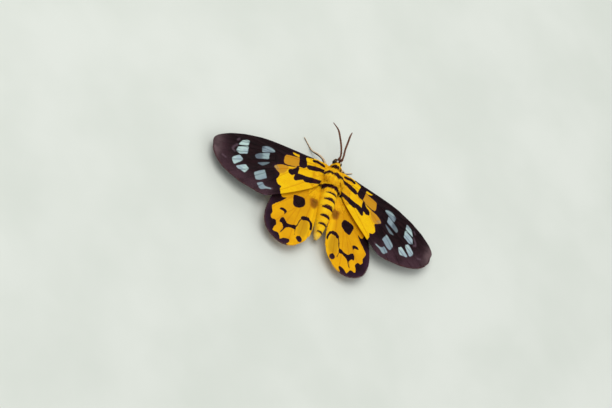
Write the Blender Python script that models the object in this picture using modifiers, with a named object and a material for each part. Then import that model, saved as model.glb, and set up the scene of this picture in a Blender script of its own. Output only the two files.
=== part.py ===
"""A life-size moth at rest: a day-flying geometrid with spread wings, standing on its six feet.

Lengths in the tables are millimetres, and MM turns them into metres. X is the moth's right,
Y is forwards and Z is up. The tables give the right-hand side; side = -1 makes the left one.
While the body is built, Y = 0 is the middle of the wing roots. The last step moves everything
so that the origin is on the floor, under the middle of the whole.
"""

import math

import bmesh
import bpy
import numpy as np
from mathutils import Matrix, Vector, geometry

MM = 0.001
GAP = 0.3 * MM
SIDES = {"right": 1, "left": -1}

# Body: centre, then half sizes, across, along and up
THORAX_CENTRE = (0.0, -1.5, 5.7)
THORAX_HALF = (3.3, 4.2, 2.6)
COLLAR_CENTRE = (0.0, 2.3, 6.5)
COLLAR_HALF = (2.1, 1.0, 1.75)
HEAD_CENTRE = (0.0, 3.95, 7.25)
HEAD_HALF = (1.4, 1.2, 1.3)
EYE_CENTRE = (1.05, 3.95, 6.95)
EYE_HALF = (0.62, 0.78, 0.85)
TEGULA_CENTRE = (2.45, -1.0, 7.25)
TEGULA_HALF = (1.0, 2.75, 0.5)
TEGULA_ROLL = math.radians(38)
TEGULA_NOD = math.radians(13)
TEGULA_FRONT_SWELL = 0.3
TEGULA_FRONT_BLUNT = 0.1

# Abdomen: a turned body of rings, bent down along a spine
ABDOMEN_FRONT_Y = -4.6
ABDOMEN_LENGTH = 18.6
ABDOMEN_RINGS = 7
ABDOMEN_RADIUS = 2.9
ABDOMEN_TIP_RADIUS = 0.75
RING_GROOVE = 0.16
ABDOMEN_FRONT_Z = 5.2
ABDOMEN_DROP = 2.3

# Wings
WING_THICKNESS = 0.5
RIM_STEPS = 3
VEIN_STEPS = 3
VEIN_HALF_WIDTH = 0.42
VEIN_RISE_TOP = 0.18
VEIN_RISE_UNDER = 0.12
VEIN_FADE = 1.2
MEMBRANE_SPACING = 3.4
MEMBRANE_CLEAR = 1.3
FOREWING_HINGE = (2.9, 0.0, 6.2)
FOREWING_REACH = 38.0
FOREWING_DROOP = 3.2
HINDWING_HINGE = (2.9, -4.6, 4.95)
HINDWING_REACH = 28.0
HINDWING_DROOP = 1.6
DROOP_POWER = 1.3

FOREWING_OUTLINE = [
    (2.0, 1.9), (12.0, 1.7), (23.8, 1.0), (31.7, -0.8), (37.6, -3.4), (41.0, -6.2),
    (41.5, -8.8), (40.2, -12.1), (37.0, -15.3), (31.3, -17.7), (26.0, -18.6), (22.2, -19.0),
    (20.2, -18.0), (15.7, -15.2), (9.4, -10.8), (4.9, -6.9), (3.6, -4.2), (2.0, -2.3),
]
FOREWING_VEINS = {
    "subcosta": [(3.4, 1.2), (14.0, 0.8), (26.0, 0.1)],
    "radius": [(3.4, 0.4), (12.0, -0.8), (20.5, -2.4)],
    "radius_1": [(17.0, -1.7), (24.0, -1.4), (31.0, -1.5)],
    "radius_2": [(20.5, -2.4), (28.0, -2.7), (35.2, -3.2)],
    "radius_3": [(28.0, -2.7), (33.5, -4.1), (38.2, -5.0)],
    "radius_4": [(20.5, -2.4), (30.0, -4.9), (40.0, -7.4)],
    "media_1": [(20.5, -2.4), (30.0, -6.6), (40.0, -10.4)],
    "media_2": [(20.2, -5.0), (29.0, -9.0), (38.2, -13.3)],
    "media_3": [(18.8, -7.4), (27.0, -11.6), (34.6, -15.7)],
    "cubitus": [(3.4, -0.6), (11.0, -3.6), (18.8, -7.4)],
    "cubitus_1": [(17.4, -6.7), (24.0, -12.0), (30.4, -17.2)],
    "cubitus_2": [(12.6, -4.3), (19.0, -11.0), (25.6, -17.8)],
    "cell_end": [(20.5, -2.4), (20.0, -5.0), (18.8, -7.4)],
    "anal": [(3.4, -1.4), (8.0, -6.4), (14.0, -12.0), (20.8, -17.4)],
}
HINDWING_OUTLINE = [
    (2.0, -3.1), (6.0, -4.9), (10.6, -8.4), (14.8, -12.2), (17.7, -15.4), (19.1, -18.6),
    (19.7, -23.0), (18.8, -26.8), (16.2, -29.4), (12.2, -30.8), (8.4, -30.1), (5.5, -28.0),
    (3.5, -24.6), (2.7, -19.0), (2.5, -13.0), (2.5, -8.4), (2.0, -6.3),
]
HINDWING_VEINS = {
    "subcosta": [(3.4, -3.9), (9.6, -8.8), (16.9, -15.5)],
    "radius": [(3.4, -4.4), (7.0, -8.4), (10.8, -13.2)],
    "radius_s": [(10.8, -13.2), (15.0, -16.2), (18.5, -19.0)],
    "media_1": [(10.8, -13.2), (15.4, -18.0), (19.0, -22.6)],
    "media_3": [(8.8, -15.6), (13.4, -21.6), (17.4, -27.4)],
    "cubitus": [(3.4, -5.0), (6.2, -9.8), (8.8, -15.6)],
    "cubitus_1": [(8.8, -15.6), (11.6, -22.6), (13.8, -29.6)],
    "cubitus_2": [(6.9, -11.2), (8.8, -20.4), (9.6, -29.6)],
    "cell_end": [(10.8, -13.2), (10.2, -14.6), (8.8, -15.6)],
    "anal": [(3.6, -6.2), (5.4, -17.0), (6.4, -27.6)],
}

# Head: feelers, palps and the coiled tongue
ANTENNA_PATH = [
    (0.5, 4.1, 8.0), (0.5, 5.3, 9.15), (0.75, 8.4, 8.95), (1.5, 12.0, 8.4), (2.3, 15.2, 7.6), (3.6, 18.0, 6.0),
]
ANTENNA_RADII = (0.34, 0.33, 0.34, 0.34, 0.27, 0.12)
PALP_PATH = [(0.52, 4.4, 6.5), (0.64, 5.1, 5.95), (0.6, 5.65, 6.05), (0.55, 5.95, 6.5)]
PALP_RADII = (0.34, 0.38, 0.32, 0.16)
TONGUE_CENTRE = (0.0, 5.0, 5.0)
TONGUE_TURNS = 1.9
TONGUE_PITCH = 0.62
TONGUE_START = 0.2
TONGUE_RADIUS = 0.25
TONGUE_POINTS_PER_TURN = 12

# Legs: hip, knee, ankle, heel and toe; the left feet stand a little further forwards
LEG_PATHS = {
    "front": [(0.9, 1.3, 4.1), (3.7, 4.4, 3.7), (6.2, 6.3, 1.0), (7.1, 6.9, 0.2), (9.5, 8.3, 0.2)],
    "middle": [(1.2, -1.4, 3.7), (5.3, -0.6, 3.5), (9.4, 0.2, 1.0), (10.3, 0.4, 0.2), (13.2, 0.9, 0.2)],
    "hind": [(1.2, -3.8, 3.9), (4.9, -7.4, 3.2), (8.2, -12.2, 1.0), (8.7, -13.0, 0.2), (10.4, -16.0, 0.2)],
}
LEFT_STAGGER = {"front": 3.7, "middle": 0.8, "hind": 0.9}
LEG_RADII = (0.5, 0.42, 0.3, 0.27, 0.25)
LEG_PIECES = ("femur", "tibia", "tarsus")
LEG_STEPS = 4
FOOT_FLAT_BELOW = 0.06
TUBE_BEVEL_RESOLUTION = 2

# Base colour, then roughness
COLOURS = {
    "dark_scales": ((0.030, 0.013, 0.024), 0.6),
    "yellow_scales": ((0.86, 0.45, 0.02), 0.65),
    "yellow_pile": ((0.84, 0.46, 0.03), 0.8),
    "chitin": ((0.24, 0.16, 0.09), 0.45),
    "eye": ((0.02, 0.012, 0.01), 0.2),
}


def clear_scene():
    for obj in list(bpy.data.objects):
        bpy.data.objects.remove(obj)


def material(name):
    made = bpy.data.materials.get(name)
    if made is None:
        colour, roughness = COLOURS[name]
        made = bpy.data.materials.new(name)
        made.use_nodes = True
        shader = made.node_tree.nodes["Principled BSDF"]
        shader.inputs["Base Color"].default_value = (*colour, 1.0)
        shader.inputs["Roughness"].default_value = roughness
        shader.inputs["Metallic"].default_value = 0.0
    return made


def add_object(name, mesh, finish, collection):
    obj = bpy.data.objects.new(name, mesh)
    mesh.materials.clear()
    mesh.materials.append(material(finish))
    collection.objects.link(obj)
    return obj


def metres(point, side=1):
    """A table's point in metres, on the right or the left."""
    return Vector((point[0] * side, point[1], point[2])) * MM


def smooth_path(points, steps, closed=False):
    """A Catmull-Rom curve through the points, with so many steps between two of them."""
    points = [Vector(p) for p in points]
    count = len(points)
    path = []
    for i in range(count if closed else count - 1):
        before = points[(i - 1) % count if closed else max(i - 1, 0)]
        start = points[i]
        end = points[(i + 1) % count]
        after = points[(i + 2) % count if closed else min(i + 2, count - 1)]
        for step in range(steps):
            t = step / steps
            path.append(
                0.5
                * (
                    2 * start
                    + (end - before) * t
                    + (2 * before - 5 * start + 4 * end - after) * t**2
                    + (3 * start - before - 3 * end + after) * t**3
                )
            )
    if not closed:
        path.append(points[-1])
    return path


def ellipsoid(name, centre, half, finish, collection, side=1, roll=0.0, segments=20, rings=14):
    """A smooth egg with its poles along the body, turned by roll about that axis."""
    mesh = bpy.data.meshes.new(name)
    bm = bmesh.new()
    bmesh.ops.create_uvsphere(bm, u_segments=segments, v_segments=rings, radius=1.0)
    bmesh.ops.rotate(bm, verts=bm.verts, matrix=Matrix.Rotation(math.pi / 2, 3, "X"))
    bmesh.ops.scale(bm, vec=Vector(half) * MM, verts=bm.verts)
    bmesh.ops.rotate(bm, verts=bm.verts, matrix=Matrix.Rotation(roll * side, 3, "Y"))
    bm.to_mesh(mesh)
    bm.free()
    mesh.shade_smooth()
    obj = add_object(name, mesh, finish, collection)
    obj.location = metres(centre, side)
    return obj


def tube(name, path, radii, finish, collection):
    """A round tube along points in metres, with a radius in millimetres at each, as a closed mesh."""
    curve = bpy.data.curves.new(name, "CURVE")
    curve.dimensions = "3D"
    curve.bevel_depth = MM
    curve.bevel_resolution = TUBE_BEVEL_RESOLUTION
    curve.use_fill_caps = True
    spline = curve.splines.new("POLY")
    spline.points.add(len(path) - 1)
    for point, place, radius in zip(spline.points, path, radii):
        point.co = (*place, 1.0)
        point.radius = radius
    guide = bpy.data.objects.new(name + "_curve", curve)
    collection.objects.link(guide)
    bpy.context.view_layer.update()
    graph = bpy.context.evaluated_depsgraph_get()
    mesh = bpy.data.meshes.new_from_object(guide.evaluated_get(graph))
    bpy.data.objects.remove(guide)
    bm = bmesh.new()
    bm.from_mesh(mesh)
    bmesh.ops.remove_doubles(bm, verts=bm.verts, dist=0.001 * MM)
    bmesh.ops.recalc_face_normals(bm, faces=bm.faces)
    bm.to_mesh(mesh)
    bm.free()
    mesh.shade_smooth()
    mesh.set_sharp_from_angle(angle=math.radians(60))
    return add_object(name, mesh, finish, collection)


def keep_largest(obj):
    """Drops all but the largest closed surface of a mesh."""
    bm = bmesh.new()
    bm.from_mesh(obj.data)
    seen, islands = set(), []
    for first in bm.faces:
        if first in seen:
            continue
        island, front = [], [first]
        seen.add(first)
        while front:
            face = front.pop()
            island.append(face)
            for near in (f for e in face.edges for f in e.link_faces if f not in seen):
                seen.add(near)
                front.append(near)
        islands.append(island)
    islands.sort(key=lambda faces: sum(f.calc_area() for f in faces), reverse=True)
    scraps = [face for island in islands[1:] for face in island]
    bmesh.ops.delete(bm, geom=scraps, context="FACES")
    bm.to_mesh(obj.data)
    bm.free()


def trim(obj, *neighbours):
    """Cuts obj back from each neighbour, so that it meets its surface with an even gap."""
    for neighbour in neighbours:
        cutter = bpy.data.objects.new("cutter", neighbour.data.copy())
        bpy.context.scene.collection.objects.link(cutter)
        cutter.matrix_world = neighbour.matrix_world.copy()
        swell = cutter.modifiers.new("swell", "DISPLACE")
        swell.strength = GAP
        swell.mid_level = 0.0
        cut = obj.modifiers.new("cut", "BOOLEAN")
        cut.operation = "DIFFERENCE"
        cut.object = cutter
        bpy.context.view_layer.update()
        graph = bpy.context.evaluated_depsgraph_get()
        trimmed = bpy.data.meshes.new_from_object(obj.evaluated_get(graph))
        obj.modifiers.remove(cut)
        obj.data = trimmed
        bpy.data.objects.remove(cutter)
    keep_largest(obj)


def polyline_distance(points, lines):
    """Distance from each 2D point to the nearest of the polylines."""
    points = np.asarray(points, float)
    nearest = np.full(len(points), np.inf)
    for line in lines:
        line = np.asarray([tuple(p) for p in line], float)
        for start, end in zip(line[:-1], line[1:]):
            along = end - start
            share = np.clip((points - start) @ along / (along @ along), 0.0, 1.0)
            gap = np.linalg.norm(points - start - share[:, None] * along, axis=1)
            nearest = np.minimum(nearest, gap)
    return nearest


def beside(line, shift):
    """The polyline moved sideways by shift."""
    moved = []
    for i, point in enumerate(line):
        along = (line[min(i + 1, len(line) - 1)] - line[max(i - 1, 0)]).normalized()
        moved.append(point + Vector((-along.y, along.x)) * shift)
    return moved


def membrane_points(rim, veins):
    """Points spread evenly over the membrane, clear of the rim and the veins."""
    low = [min(p[i] for p in rim) for i in (0, 1)]
    high = [max(p[i] for p in rim) for i in (0, 1)]
    columns = np.arange(low[0], high[0], MEMBRANE_SPACING)
    rows = np.arange(low[1], high[1], MEMBRANE_SPACING)
    grid = [(x + (j % 2) * MEMBRANE_SPACING / 2, y) for x in columns for j, y in enumerate(rows)]
    clear = polyline_distance(grid, [*veins, rim + rim[:1]]) > MEMBRANE_CLEAR
    return [Vector(p) for p, keep in zip(grid, clear) if keep]


def wing_plan(outline, vein_table):
    """The wing's flat triangles in millimetres, and its veins and rim as polylines."""
    rim = smooth_path(outline, RIM_STEPS, closed=True)
    veins = [smooth_path(points, VEIN_STEPS) for points in vein_table.values()]
    places = list(rim)
    edges = []
    for vein in veins:
        for shift in (-VEIN_HALF_WIDTH, 0.0, VEIN_HALF_WIDTH):
            first = len(places)
            places.extend(beside(vein, shift))
            edges.extend((i, i + 1) for i in range(first, len(places) - 1))
    places.extend(membrane_points(rim, veins))
    inside_constraints = 1
    merge_within = 0.1
    plan = geometry.delaunay_2d_cdt(
        places, edges, [list(range(len(rim)))], inside_constraints, merge_within
    )
    return plan[0], plan[2], veins, rim


def forewing_level(x, y):
    """Height of the forewing's middle surface: it droops towards the tip."""
    reach = np.clip((x - FOREWING_HINGE[0]) / FOREWING_REACH, 0.0, None)
    return FOREWING_HINGE[2] - FOREWING_DROOP * reach**DROOP_POWER


def hindwing_level(x, y):
    """Height of the hindwing's middle surface, which fans out from its root."""
    reach = np.hypot(x - HINDWING_HINGE[0], y - HINDWING_HINGE[1]) / HINDWING_REACH
    return HINDWING_HINGE[2] - HINDWING_DROOP * reach**DROOP_POWER


def wing(name, side, outline, vein_table, level_of, hinge, finish, collection):
    """A thin plate with the veins raised in both its faces, which are split into like triangles."""
    places, triangles, veins, rim = wing_plan(outline, vein_table)
    flat = np.array([tuple(p) for p in places])
    from_vein = polyline_distance(flat, veins)
    from_rim = polyline_distance(flat, [rim + rim[:1]])
    ridge = np.clip(1 - from_vein / VEIN_HALF_WIDTH, 0, 1) * np.clip(from_rim / VEIN_FADE, 0, 1)
    level = level_of(flat[:, 0], flat[:, 1])
    top = level + WING_THICKNESS / 2 + VEIN_RISE_TOP * ridge
    under = level - WING_THICKNESS / 2 - VEIN_RISE_UNDER * ridge

    bm = bmesh.new()
    number = bm.verts.layers.int.new("number")
    lower = [bm.verts.new(metres((x, y, z)) - metres(hinge)) for (x, y), z in zip(flat, under)]
    for i, vert in enumerate(lower):
        vert[number] = i
    for triangle in triangles:
        bm.faces.new([lower[i] for i in triangle])
    grown = bmesh.ops.extrude_face_region(bm, geom=bm.faces[:], use_keep_orig=True)
    for vert in (g for g in grown["geom"] if isinstance(g, bmesh.types.BMVert)):
        vert.co.z = (top[vert[number]] - hinge[2]) * MM
    bmesh.ops.scale(bm, vec=(side, 1, 1), verts=bm.verts)
    bmesh.ops.delete(bm, geom=[v for v in bm.verts if not v.link_faces], context="VERTS")
    bmesh.ops.recalc_face_normals(bm, faces=bm.faces)
    mesh = bpy.data.meshes.new(name)
    bm.to_mesh(mesh)
    bm.free()
    obj = add_object(name, mesh, finish, collection)
    obj.location = metres(hinge, side)
    return obj


def abdomen_profile():
    """Radius and distance along the abdomen, ring by ring, from the front to the tip."""
    rows = []
    ring_length = ABDOMEN_LENGTH / ABDOMEN_RINGS
    for ring in range(ABDOMEN_RINGS):
        for share, groove in ((0.0, 1.0), (0.14, 0.25), (0.45, 0.0), (0.8, 0.2)):
            along = (ring + share) * ring_length
            body = math.sin(math.pi * (0.36 + 0.58 * along / ABDOMEN_LENGTH)) ** 0.8
            rows.append((ABDOMEN_RADIUS * body - RING_GROOVE * groove, along))
    rows.append((ABDOMEN_TIP_RADIUS, ABDOMEN_LENGTH - 0.15))
    rows.append((ABDOMEN_TIP_RADIUS * 0.6, ABDOMEN_LENGTH))
    return rows


def abdomen(collection):
    """The profile turned about the body's axis with a Screw, closed at both ends and bent down."""
    mesh = bpy.data.meshes.new("abdomen_profile")
    rows = abdomen_profile()
    points = [(0.0, 0.0, 0.0)] + [(r * MM, 0.0, -d * MM) for r, d in rows]
    points.append((0.0, 0.0, -rows[-1][1] * MM))
    mesh.from_pydata(points, [(i, i + 1) for i in range(len(points) - 1)], [])
    guide = bpy.data.objects.new("abdomen_guide", mesh)
    collection.objects.link(guide)
    screw = guide.modifiers.new("turn", "SCREW")
    screw.steps = screw.render_steps = 20
    screw.use_merge_vertices = True
    screw.merge_threshold = 0.01 * MM
    bpy.context.view_layer.update()
    graph = bpy.context.evaluated_depsgraph_get()
    turned = bpy.data.meshes.new_from_object(guide.evaluated_get(graph))
    bpy.data.objects.remove(guide)
    for vert in turned.vertices:
        along = -vert.co.z / MM
        droop = ABDOMEN_DROP * (along / ABDOMEN_LENGTH) ** 1.8
        across, up = vert.co.x, vert.co.y
        vert.co = Vector((across, (ABDOMEN_FRONT_Y - along) * MM, up + (ABDOMEN_FRONT_Z - droop) * MM))
    bm = bmesh.new()
    bm.from_mesh(turned)
    bmesh.ops.recalc_face_normals(bm, faces=bm.faces)
    bm.to_mesh(turned)
    bm.free()
    turned.shade_smooth()
    return add_object("abdomen", turned, "yellow_pile", collection)


def spiral_tongue(collection):
    """The tongue, coiled like a watch spring between the palps."""
    count = int(TONGUE_TURNS * TONGUE_POINTS_PER_TURN)
    path = []
    for i in range(count + 1):
        turn = i / TONGUE_POINTS_PER_TURN
        radius = TONGUE_START + TONGUE_PITCH * turn
        angle = 2 * math.pi * (turn - TONGUE_TURNS) + math.radians(120)
        offset = (0.0, radius * math.cos(angle), radius * math.sin(angle))
        path.append(metres(TONGUE_CENTRE) + metres(offset))
    return tube("tongue", path, [TONGUE_RADIUS] * len(path), "chitin", collection)


def interpolated(values, steps):
    """The values with so many steps between two of them."""
    spread = []
    for start, end in zip(values[:-1], values[1:]):
        spread.extend(start + (end - start) * step / steps for step in range(steps))
    return [*spread, values[-1]]


def leg_path(pair, side):
    """The leg's centre line in metres; the foot of a left leg stands further forwards."""
    stagger = LEFT_STAGGER[pair] if side < 0 else 0.0
    joints = LEG_PATHS[pair]
    last = len(joints) - 1
    moved = [(x, y + stagger * i / last, z) for i, (x, y, z) in enumerate(joints)]
    return [metres(p, side) for p in smooth_path(moved, LEG_STEPS)]


def shortened(path, start, end):
    """The path with so much of its first and its last step cut off."""
    path = [p.copy() for p in path]
    path[0] += (path[1] - path[0]).normalized() * start
    path[-1] += (path[-2] - path[-1]).normalized() * end
    return path


def leg(pair, side_name, thorax, belly, collection):
    """A leg in three pieces along one bent line, parted by thin cuts at the knee and the ankle."""
    side = SIDES[side_name]
    path = leg_path(pair, side)
    radii = interpolated(LEG_RADII, LEG_STEPS)
    cuts = (0, LEG_STEPS, 2 * LEG_STEPS, len(path) - 1)
    made = []
    for piece, first, last in zip(LEG_PIECES, cuts[:-1], cuts[1:]):
        start = 0.0 if piece == LEG_PIECES[0] else GAP / 2
        end = 0.0 if piece == LEG_PIECES[-1] else GAP / 2
        line = shortened(path[first : last + 1], start, end)
        name = f"leg_{pair}_{side_name}_{piece}"
        made.append(tube(name, line, radii[first : last + 1], "chitin", collection))
    for vert in made[-1].data.vertices:
        if vert.co.z < FOOT_FLAT_BELOW * MM:
            vert.co.z = 0.0
    trim(made[0], thorax, belly)
    return made


def shape_thorax(obj):
    """Narrows the thorax towards the head and lifts its back."""
    for vert in obj.data.vertices:
        along = vert.co.y / (THORAX_HALF[1] * MM)
        vert.co.x *= 1 - 0.16 * max(along, 0.0)
        if vert.co.z > 0:
            vert.co.z *= 1 + 0.05 * math.cos(math.pi * along)


def shape_tegula(obj, side):
    """Broadens the shoulder flap's front, and nods it down and in towards the thorax."""
    for vert in obj.data.vertices:
        along = vert.co.y / (TEGULA_HALF[1] * MM)
        vert.co.x *= 1 + TEGULA_FRONT_SWELL * along
        vert.co.y *= 1 - TEGULA_FRONT_BLUNT * max(along, 0.0) ** 2
    nod = Matrix.Rotation(-TEGULA_NOD, 4, "X")
    turn_in = Matrix.Rotation(TEGULA_NOD * side / 2, 4, "Z")
    obj.data.transform(turn_in @ nod)


def head_parts(collar, collection):
    head = ellipsoid("head", HEAD_CENTRE, HEAD_HALF, "yellow_pile", collection, segments=18, rings=12)
    eyes = [
        ellipsoid(f"eye_{name}", EYE_CENTRE, EYE_HALF, "eye", collection, side=side, segments=14, rings=10)
        for name, side in SIDES.items()
    ]
    bpy.context.view_layer.update()
    trim(head, *eyes, collar)
    for name, side in SIDES.items():
        stem = [metres(p, side) for p in smooth_path(ANTENNA_PATH, LEG_STEPS)]
        radii = interpolated(ANTENNA_RADII, LEG_STEPS)
        trim(tube(f"antenna_{name}", stem, radii, "chitin", collection), head, *eyes)
        stem = [metres(p, side) for p in smooth_path(PALP_PATH, 2)]
        radii = interpolated(PALP_RADII, 2)
        trim(tube(f"palp_{name}", stem, radii, "yellow_pile", collection), head, *eyes)
    trim(spiral_tongue(collection), head)


def body_parts(collection):
    thorax = ellipsoid("thorax", THORAX_CENTRE, THORAX_HALF, "yellow_pile", collection, segments=24, rings=16)
    shape_thorax(thorax)
    bpy.context.view_layer.update()
    collar = ellipsoid("collar", COLLAR_CENTRE, COLLAR_HALF, "yellow_pile", collection)
    belly = abdomen(collection)
    bpy.context.view_layer.update()
    trim(collar, thorax)
    trim(belly, thorax)
    return thorax, collar, belly


def wing_parts(thorax, belly, collection):
    wings = []
    for side_name, side in SIDES.items():
        fore = wing(
            f"forewing_{side_name}", side, FOREWING_OUTLINE, FOREWING_VEINS, forewing_level,
            FOREWING_HINGE, "dark_scales", collection,
        )
        hind = wing(
            f"hindwing_{side_name}", side, HINDWING_OUTLINE, HINDWING_VEINS, hindwing_level,
            HINDWING_HINGE, "yellow_scales", collection,
        )
        bpy.context.view_layer.update()
        trim(fore, thorax)
        trim(hind, thorax, belly)
        tegula = ellipsoid(
            f"tegula_{side_name}", TEGULA_CENTRE, TEGULA_HALF, "yellow_pile", collection,
            side=side, roll=TEGULA_ROLL, segments=16, rings=12,
        )
        shape_tegula(tegula, side)
        bpy.context.view_layer.update()
        trim(tegula, thorax, fore)
        wings += [fore, hind, tegula]
    return wings


def centre_on_floor(objects):
    """Moves the whole so that the origin is on the floor under the middle of its outline."""
    bpy.context.view_layer.update()
    corners = [obj.matrix_world @ vert.co for obj in objects for vert in obj.data.vertices]
    middle = [(min(c[i] for c in corners) + max(c[i] for c in corners)) / 2 for i in (0, 1)]
    for obj in objects:
        obj.location -= Vector((*middle, 0.0))


def main():
    clear_scene()
    collection = bpy.data.collections.new("resting_moth")
    bpy.context.scene.collection.children.link(collection)
    thorax, collar, belly = body_parts(collection)
    head_parts(collar, collection)
    wing_parts(thorax, belly, collection)
    for pair in LEG_PATHS:
        for side_name in SIDES:
            leg(pair, side_name, thorax, belly, collection)
    centre_on_floor(list(collection.objects))


main()
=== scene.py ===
# %% [markdown]
# # A false tiger moth at rest
#
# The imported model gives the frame: thin plates for the wings, eggs for the body and tubes for the
# legs. This lesson puts the looks of a real moth around it, piece by piece. The wings become thin
# patterned membranes with raised veins and a fringe, the body becomes one skin under a coat of
# scales, and the feelers and legs get their rings, spurs and claws.
#
# Lengths in the tables are millimetres in the moth's own measure: X to its right, Y forwards from
# the middle of the wing roots, Z up from the floor. The right side is described, and the left is
# its mirror image.

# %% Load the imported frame
import math

import bpy
import numpy as np
from mathutils import Matrix, Quaternion, Vector


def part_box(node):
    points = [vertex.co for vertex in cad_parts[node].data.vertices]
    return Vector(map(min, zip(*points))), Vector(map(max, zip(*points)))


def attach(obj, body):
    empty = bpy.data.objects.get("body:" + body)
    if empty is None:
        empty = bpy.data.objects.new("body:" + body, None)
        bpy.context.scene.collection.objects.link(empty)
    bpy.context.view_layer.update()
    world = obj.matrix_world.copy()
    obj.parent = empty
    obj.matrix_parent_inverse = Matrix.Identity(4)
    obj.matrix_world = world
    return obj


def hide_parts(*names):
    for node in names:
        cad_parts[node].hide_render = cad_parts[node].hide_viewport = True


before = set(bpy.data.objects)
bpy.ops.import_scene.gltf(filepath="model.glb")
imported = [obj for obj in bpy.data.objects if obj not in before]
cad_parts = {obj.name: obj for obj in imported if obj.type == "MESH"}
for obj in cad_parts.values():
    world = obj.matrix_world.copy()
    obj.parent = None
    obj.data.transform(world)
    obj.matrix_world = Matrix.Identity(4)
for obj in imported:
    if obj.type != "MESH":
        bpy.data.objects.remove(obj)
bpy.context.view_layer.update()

MM = 0.001
SIDES = {"right": 1, "left": -1}

# The thorax of the frame is an egg whose middle lies this far behind the wing roots' middle.
THORAX_MIDDLE_Y = -1.5
thorax_low, thorax_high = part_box("thorax")
ROOT_Y = (thorax_low.y + thorax_high.y) / 2 / MM - THORAX_MIDDLE_Y
print(f"frame: {len(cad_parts)} nodes, wing roots at Y = {ROOT_Y:.2f} mm")

# %% [markdown]
# ## Small helpers
#
# Points are kept as rows of numbers, because the patterns and the coat need arithmetic on many of
# them at once. The curves pass through every point that they are given, so a wing's outline, a
# vein or the edge of a spot can be written with a few points read off. The distance to such a curve
# is what later tells a material where a mark begins.


# %% Points and curves
def to_world(points):
    """Rows of moth millimetres, as rows of metres in the frame."""
    return (np.atleast_2d(points) + (0.0, ROOT_Y, 0.0)) * MM


def to_moth(mesh):
    """The mesh's vertices as rows of moth millimetres."""
    flat = np.empty(len(mesh.vertices) * 3)
    mesh.vertices.foreach_get("co", flat)
    return flat.reshape(-1, 3) / MM - (0.0, ROOT_Y, 0.0)


def smooth(points, steps, closed=False):
    """A smooth curve through the points, in so many steps between two of them."""
    points = np.asarray(points, float)
    count = len(points)
    share = np.linspace(0, 1, steps, endpoint=False)[:, None]
    curve = []
    for i in range(count if closed else count - 1):
        around = [i - 1, i, i + 1, i + 2]
        if closed:
            around = [k % count for k in around]
        before, start, end, after = points[np.clip(around, 0, count - 1)]
        curve.append(
            start
            + (end - before) * share / 2
            + (2 * before - 5 * start + 4 * end - after) * share**2 / 2
            + (3 * start - before - 3 * end + after) * share**3 / 2
        )
    return np.vstack(curve) if closed else np.vstack([*curve, points[-1:]])


def spaced(curve, count):
    """So many points, evenly spaced along the curve."""
    steps = np.linalg.norm(np.diff(curve, axis=0), axis=1)
    along = np.concatenate([[0], np.cumsum(steps)])
    wanted = np.linspace(0, along[-1], count)
    return np.column_stack([np.interp(wanted, along, column) for column in curve.T])


# %% Distances to marks
FAR = 9.0


def distance_to_line(points, line):
    """Distance from each flat point to a line of points."""
    nearest = np.full(len(points), np.inf)
    for start, end in zip(line[:-1], line[1:]):
        along = end - start
        share = np.clip((points - start) @ along / max(along @ along, 1e-12), 0, 1)
        gap = np.hypot(*(points - start - share[:, None] * along).T)
        nearest = np.minimum(nearest, gap)
    return nearest


def distance_to_patch(points, outline):
    """Distance to a smooth closed outline, negative inside it."""
    ring = smooth(outline, 4, closed=True)
    ring = np.vstack([ring, ring[:1]])
    x, y = points.T
    inside = np.zeros(len(points), bool)
    for (ax, ay), (bx, by) in zip(ring[:-1], ring[1:]):
        if ay != by:
            inside ^= ((ay > y) != (by > y)) & (x < ax + (y - ay) / (by - ay) * (bx - ax))
    return np.where(inside, -1, 1) * distance_to_line(points, ring)


def distance_to_marks(points, patches=(), strokes=()):
    """Distance to the nearest of some patches and strokes, negative inside them."""
    nearest = np.full(len(points), FAR)
    for outline in patches:
        nearest = np.minimum(nearest, distance_to_patch(points, outline))
    for width, line in strokes:
        nearest = np.minimum(nearest, distance_to_line(points, smooth(line, 4)) - width / 2)
    return nearest


# %% [markdown]
# Blender's operators act on whatever is selected, and the frame's nodes come in selected. So every
# step starts by deselecting everything. The helpers below also write numbers onto a mesh as
# attributes, which the materials read back as masks.


# %% One object at a time
def select_only(*objects):
    bpy.ops.object.select_all(action="DESELECT")
    for obj in objects:
        obj.select_set(True)
    bpy.context.view_layer.objects.active = objects[-1]


def apply_modifier(obj, kind, **settings):
    select_only(obj)
    modifier = obj.modifiers.new(kind.title(), kind)
    for name, value in settings.items():
        setattr(modifier, name, value)
    bpy.ops.object.modifier_apply(modifier=modifier.name)


def face_outwards(obj, merge=0.0):
    """Merges points closer than so many metres, and turns the faces outwards."""
    select_only(obj)
    bpy.ops.object.mode_set(mode="EDIT")
    bpy.ops.mesh.select_all(action="SELECT")
    if merge:
        bpy.ops.mesh.remove_doubles(threshold=merge)
    bpy.ops.mesh.normals_make_consistent(inside=False)
    bpy.ops.object.mode_set(mode="OBJECT")


def shade_smooth(obj):
    select_only(obj)
    bpy.ops.object.shade_smooth()


# %% Numbers on a mesh
def vertex_rows(obj, field):
    """A vector of every vertex, its "co" or its "normal", as rows."""
    return np.array([getattr(vertex, field)[:] for vertex in obj.data.vertices])


def set_places(obj, points):
    """Moves the vertices to rows of moth millimetres."""
    obj.data.vertices.foreach_set("co", to_world(points).astype(np.float32).ravel())
    obj.data.update()


def write_attribute(obj, name, values):
    layer = obj.data.attributes.new(name, "FLOAT", "POINT")
    layer.data.foreach_set("value", np.asarray(values, np.float32))


# %% Finished pieces
def mirror_copy(obj, name):
    """The piece's mirror image on the left, with a mesh of its own and its faces outwards."""
    select_only(obj)
    bpy.ops.object.duplicate()
    copy = bpy.context.active_object
    copy.name = copy.data.name = name
    copy.data.transform(Matrix.Scale(-1, 4, (1, 0, 0)))
    copy.data.flip_normals()
    return copy


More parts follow.
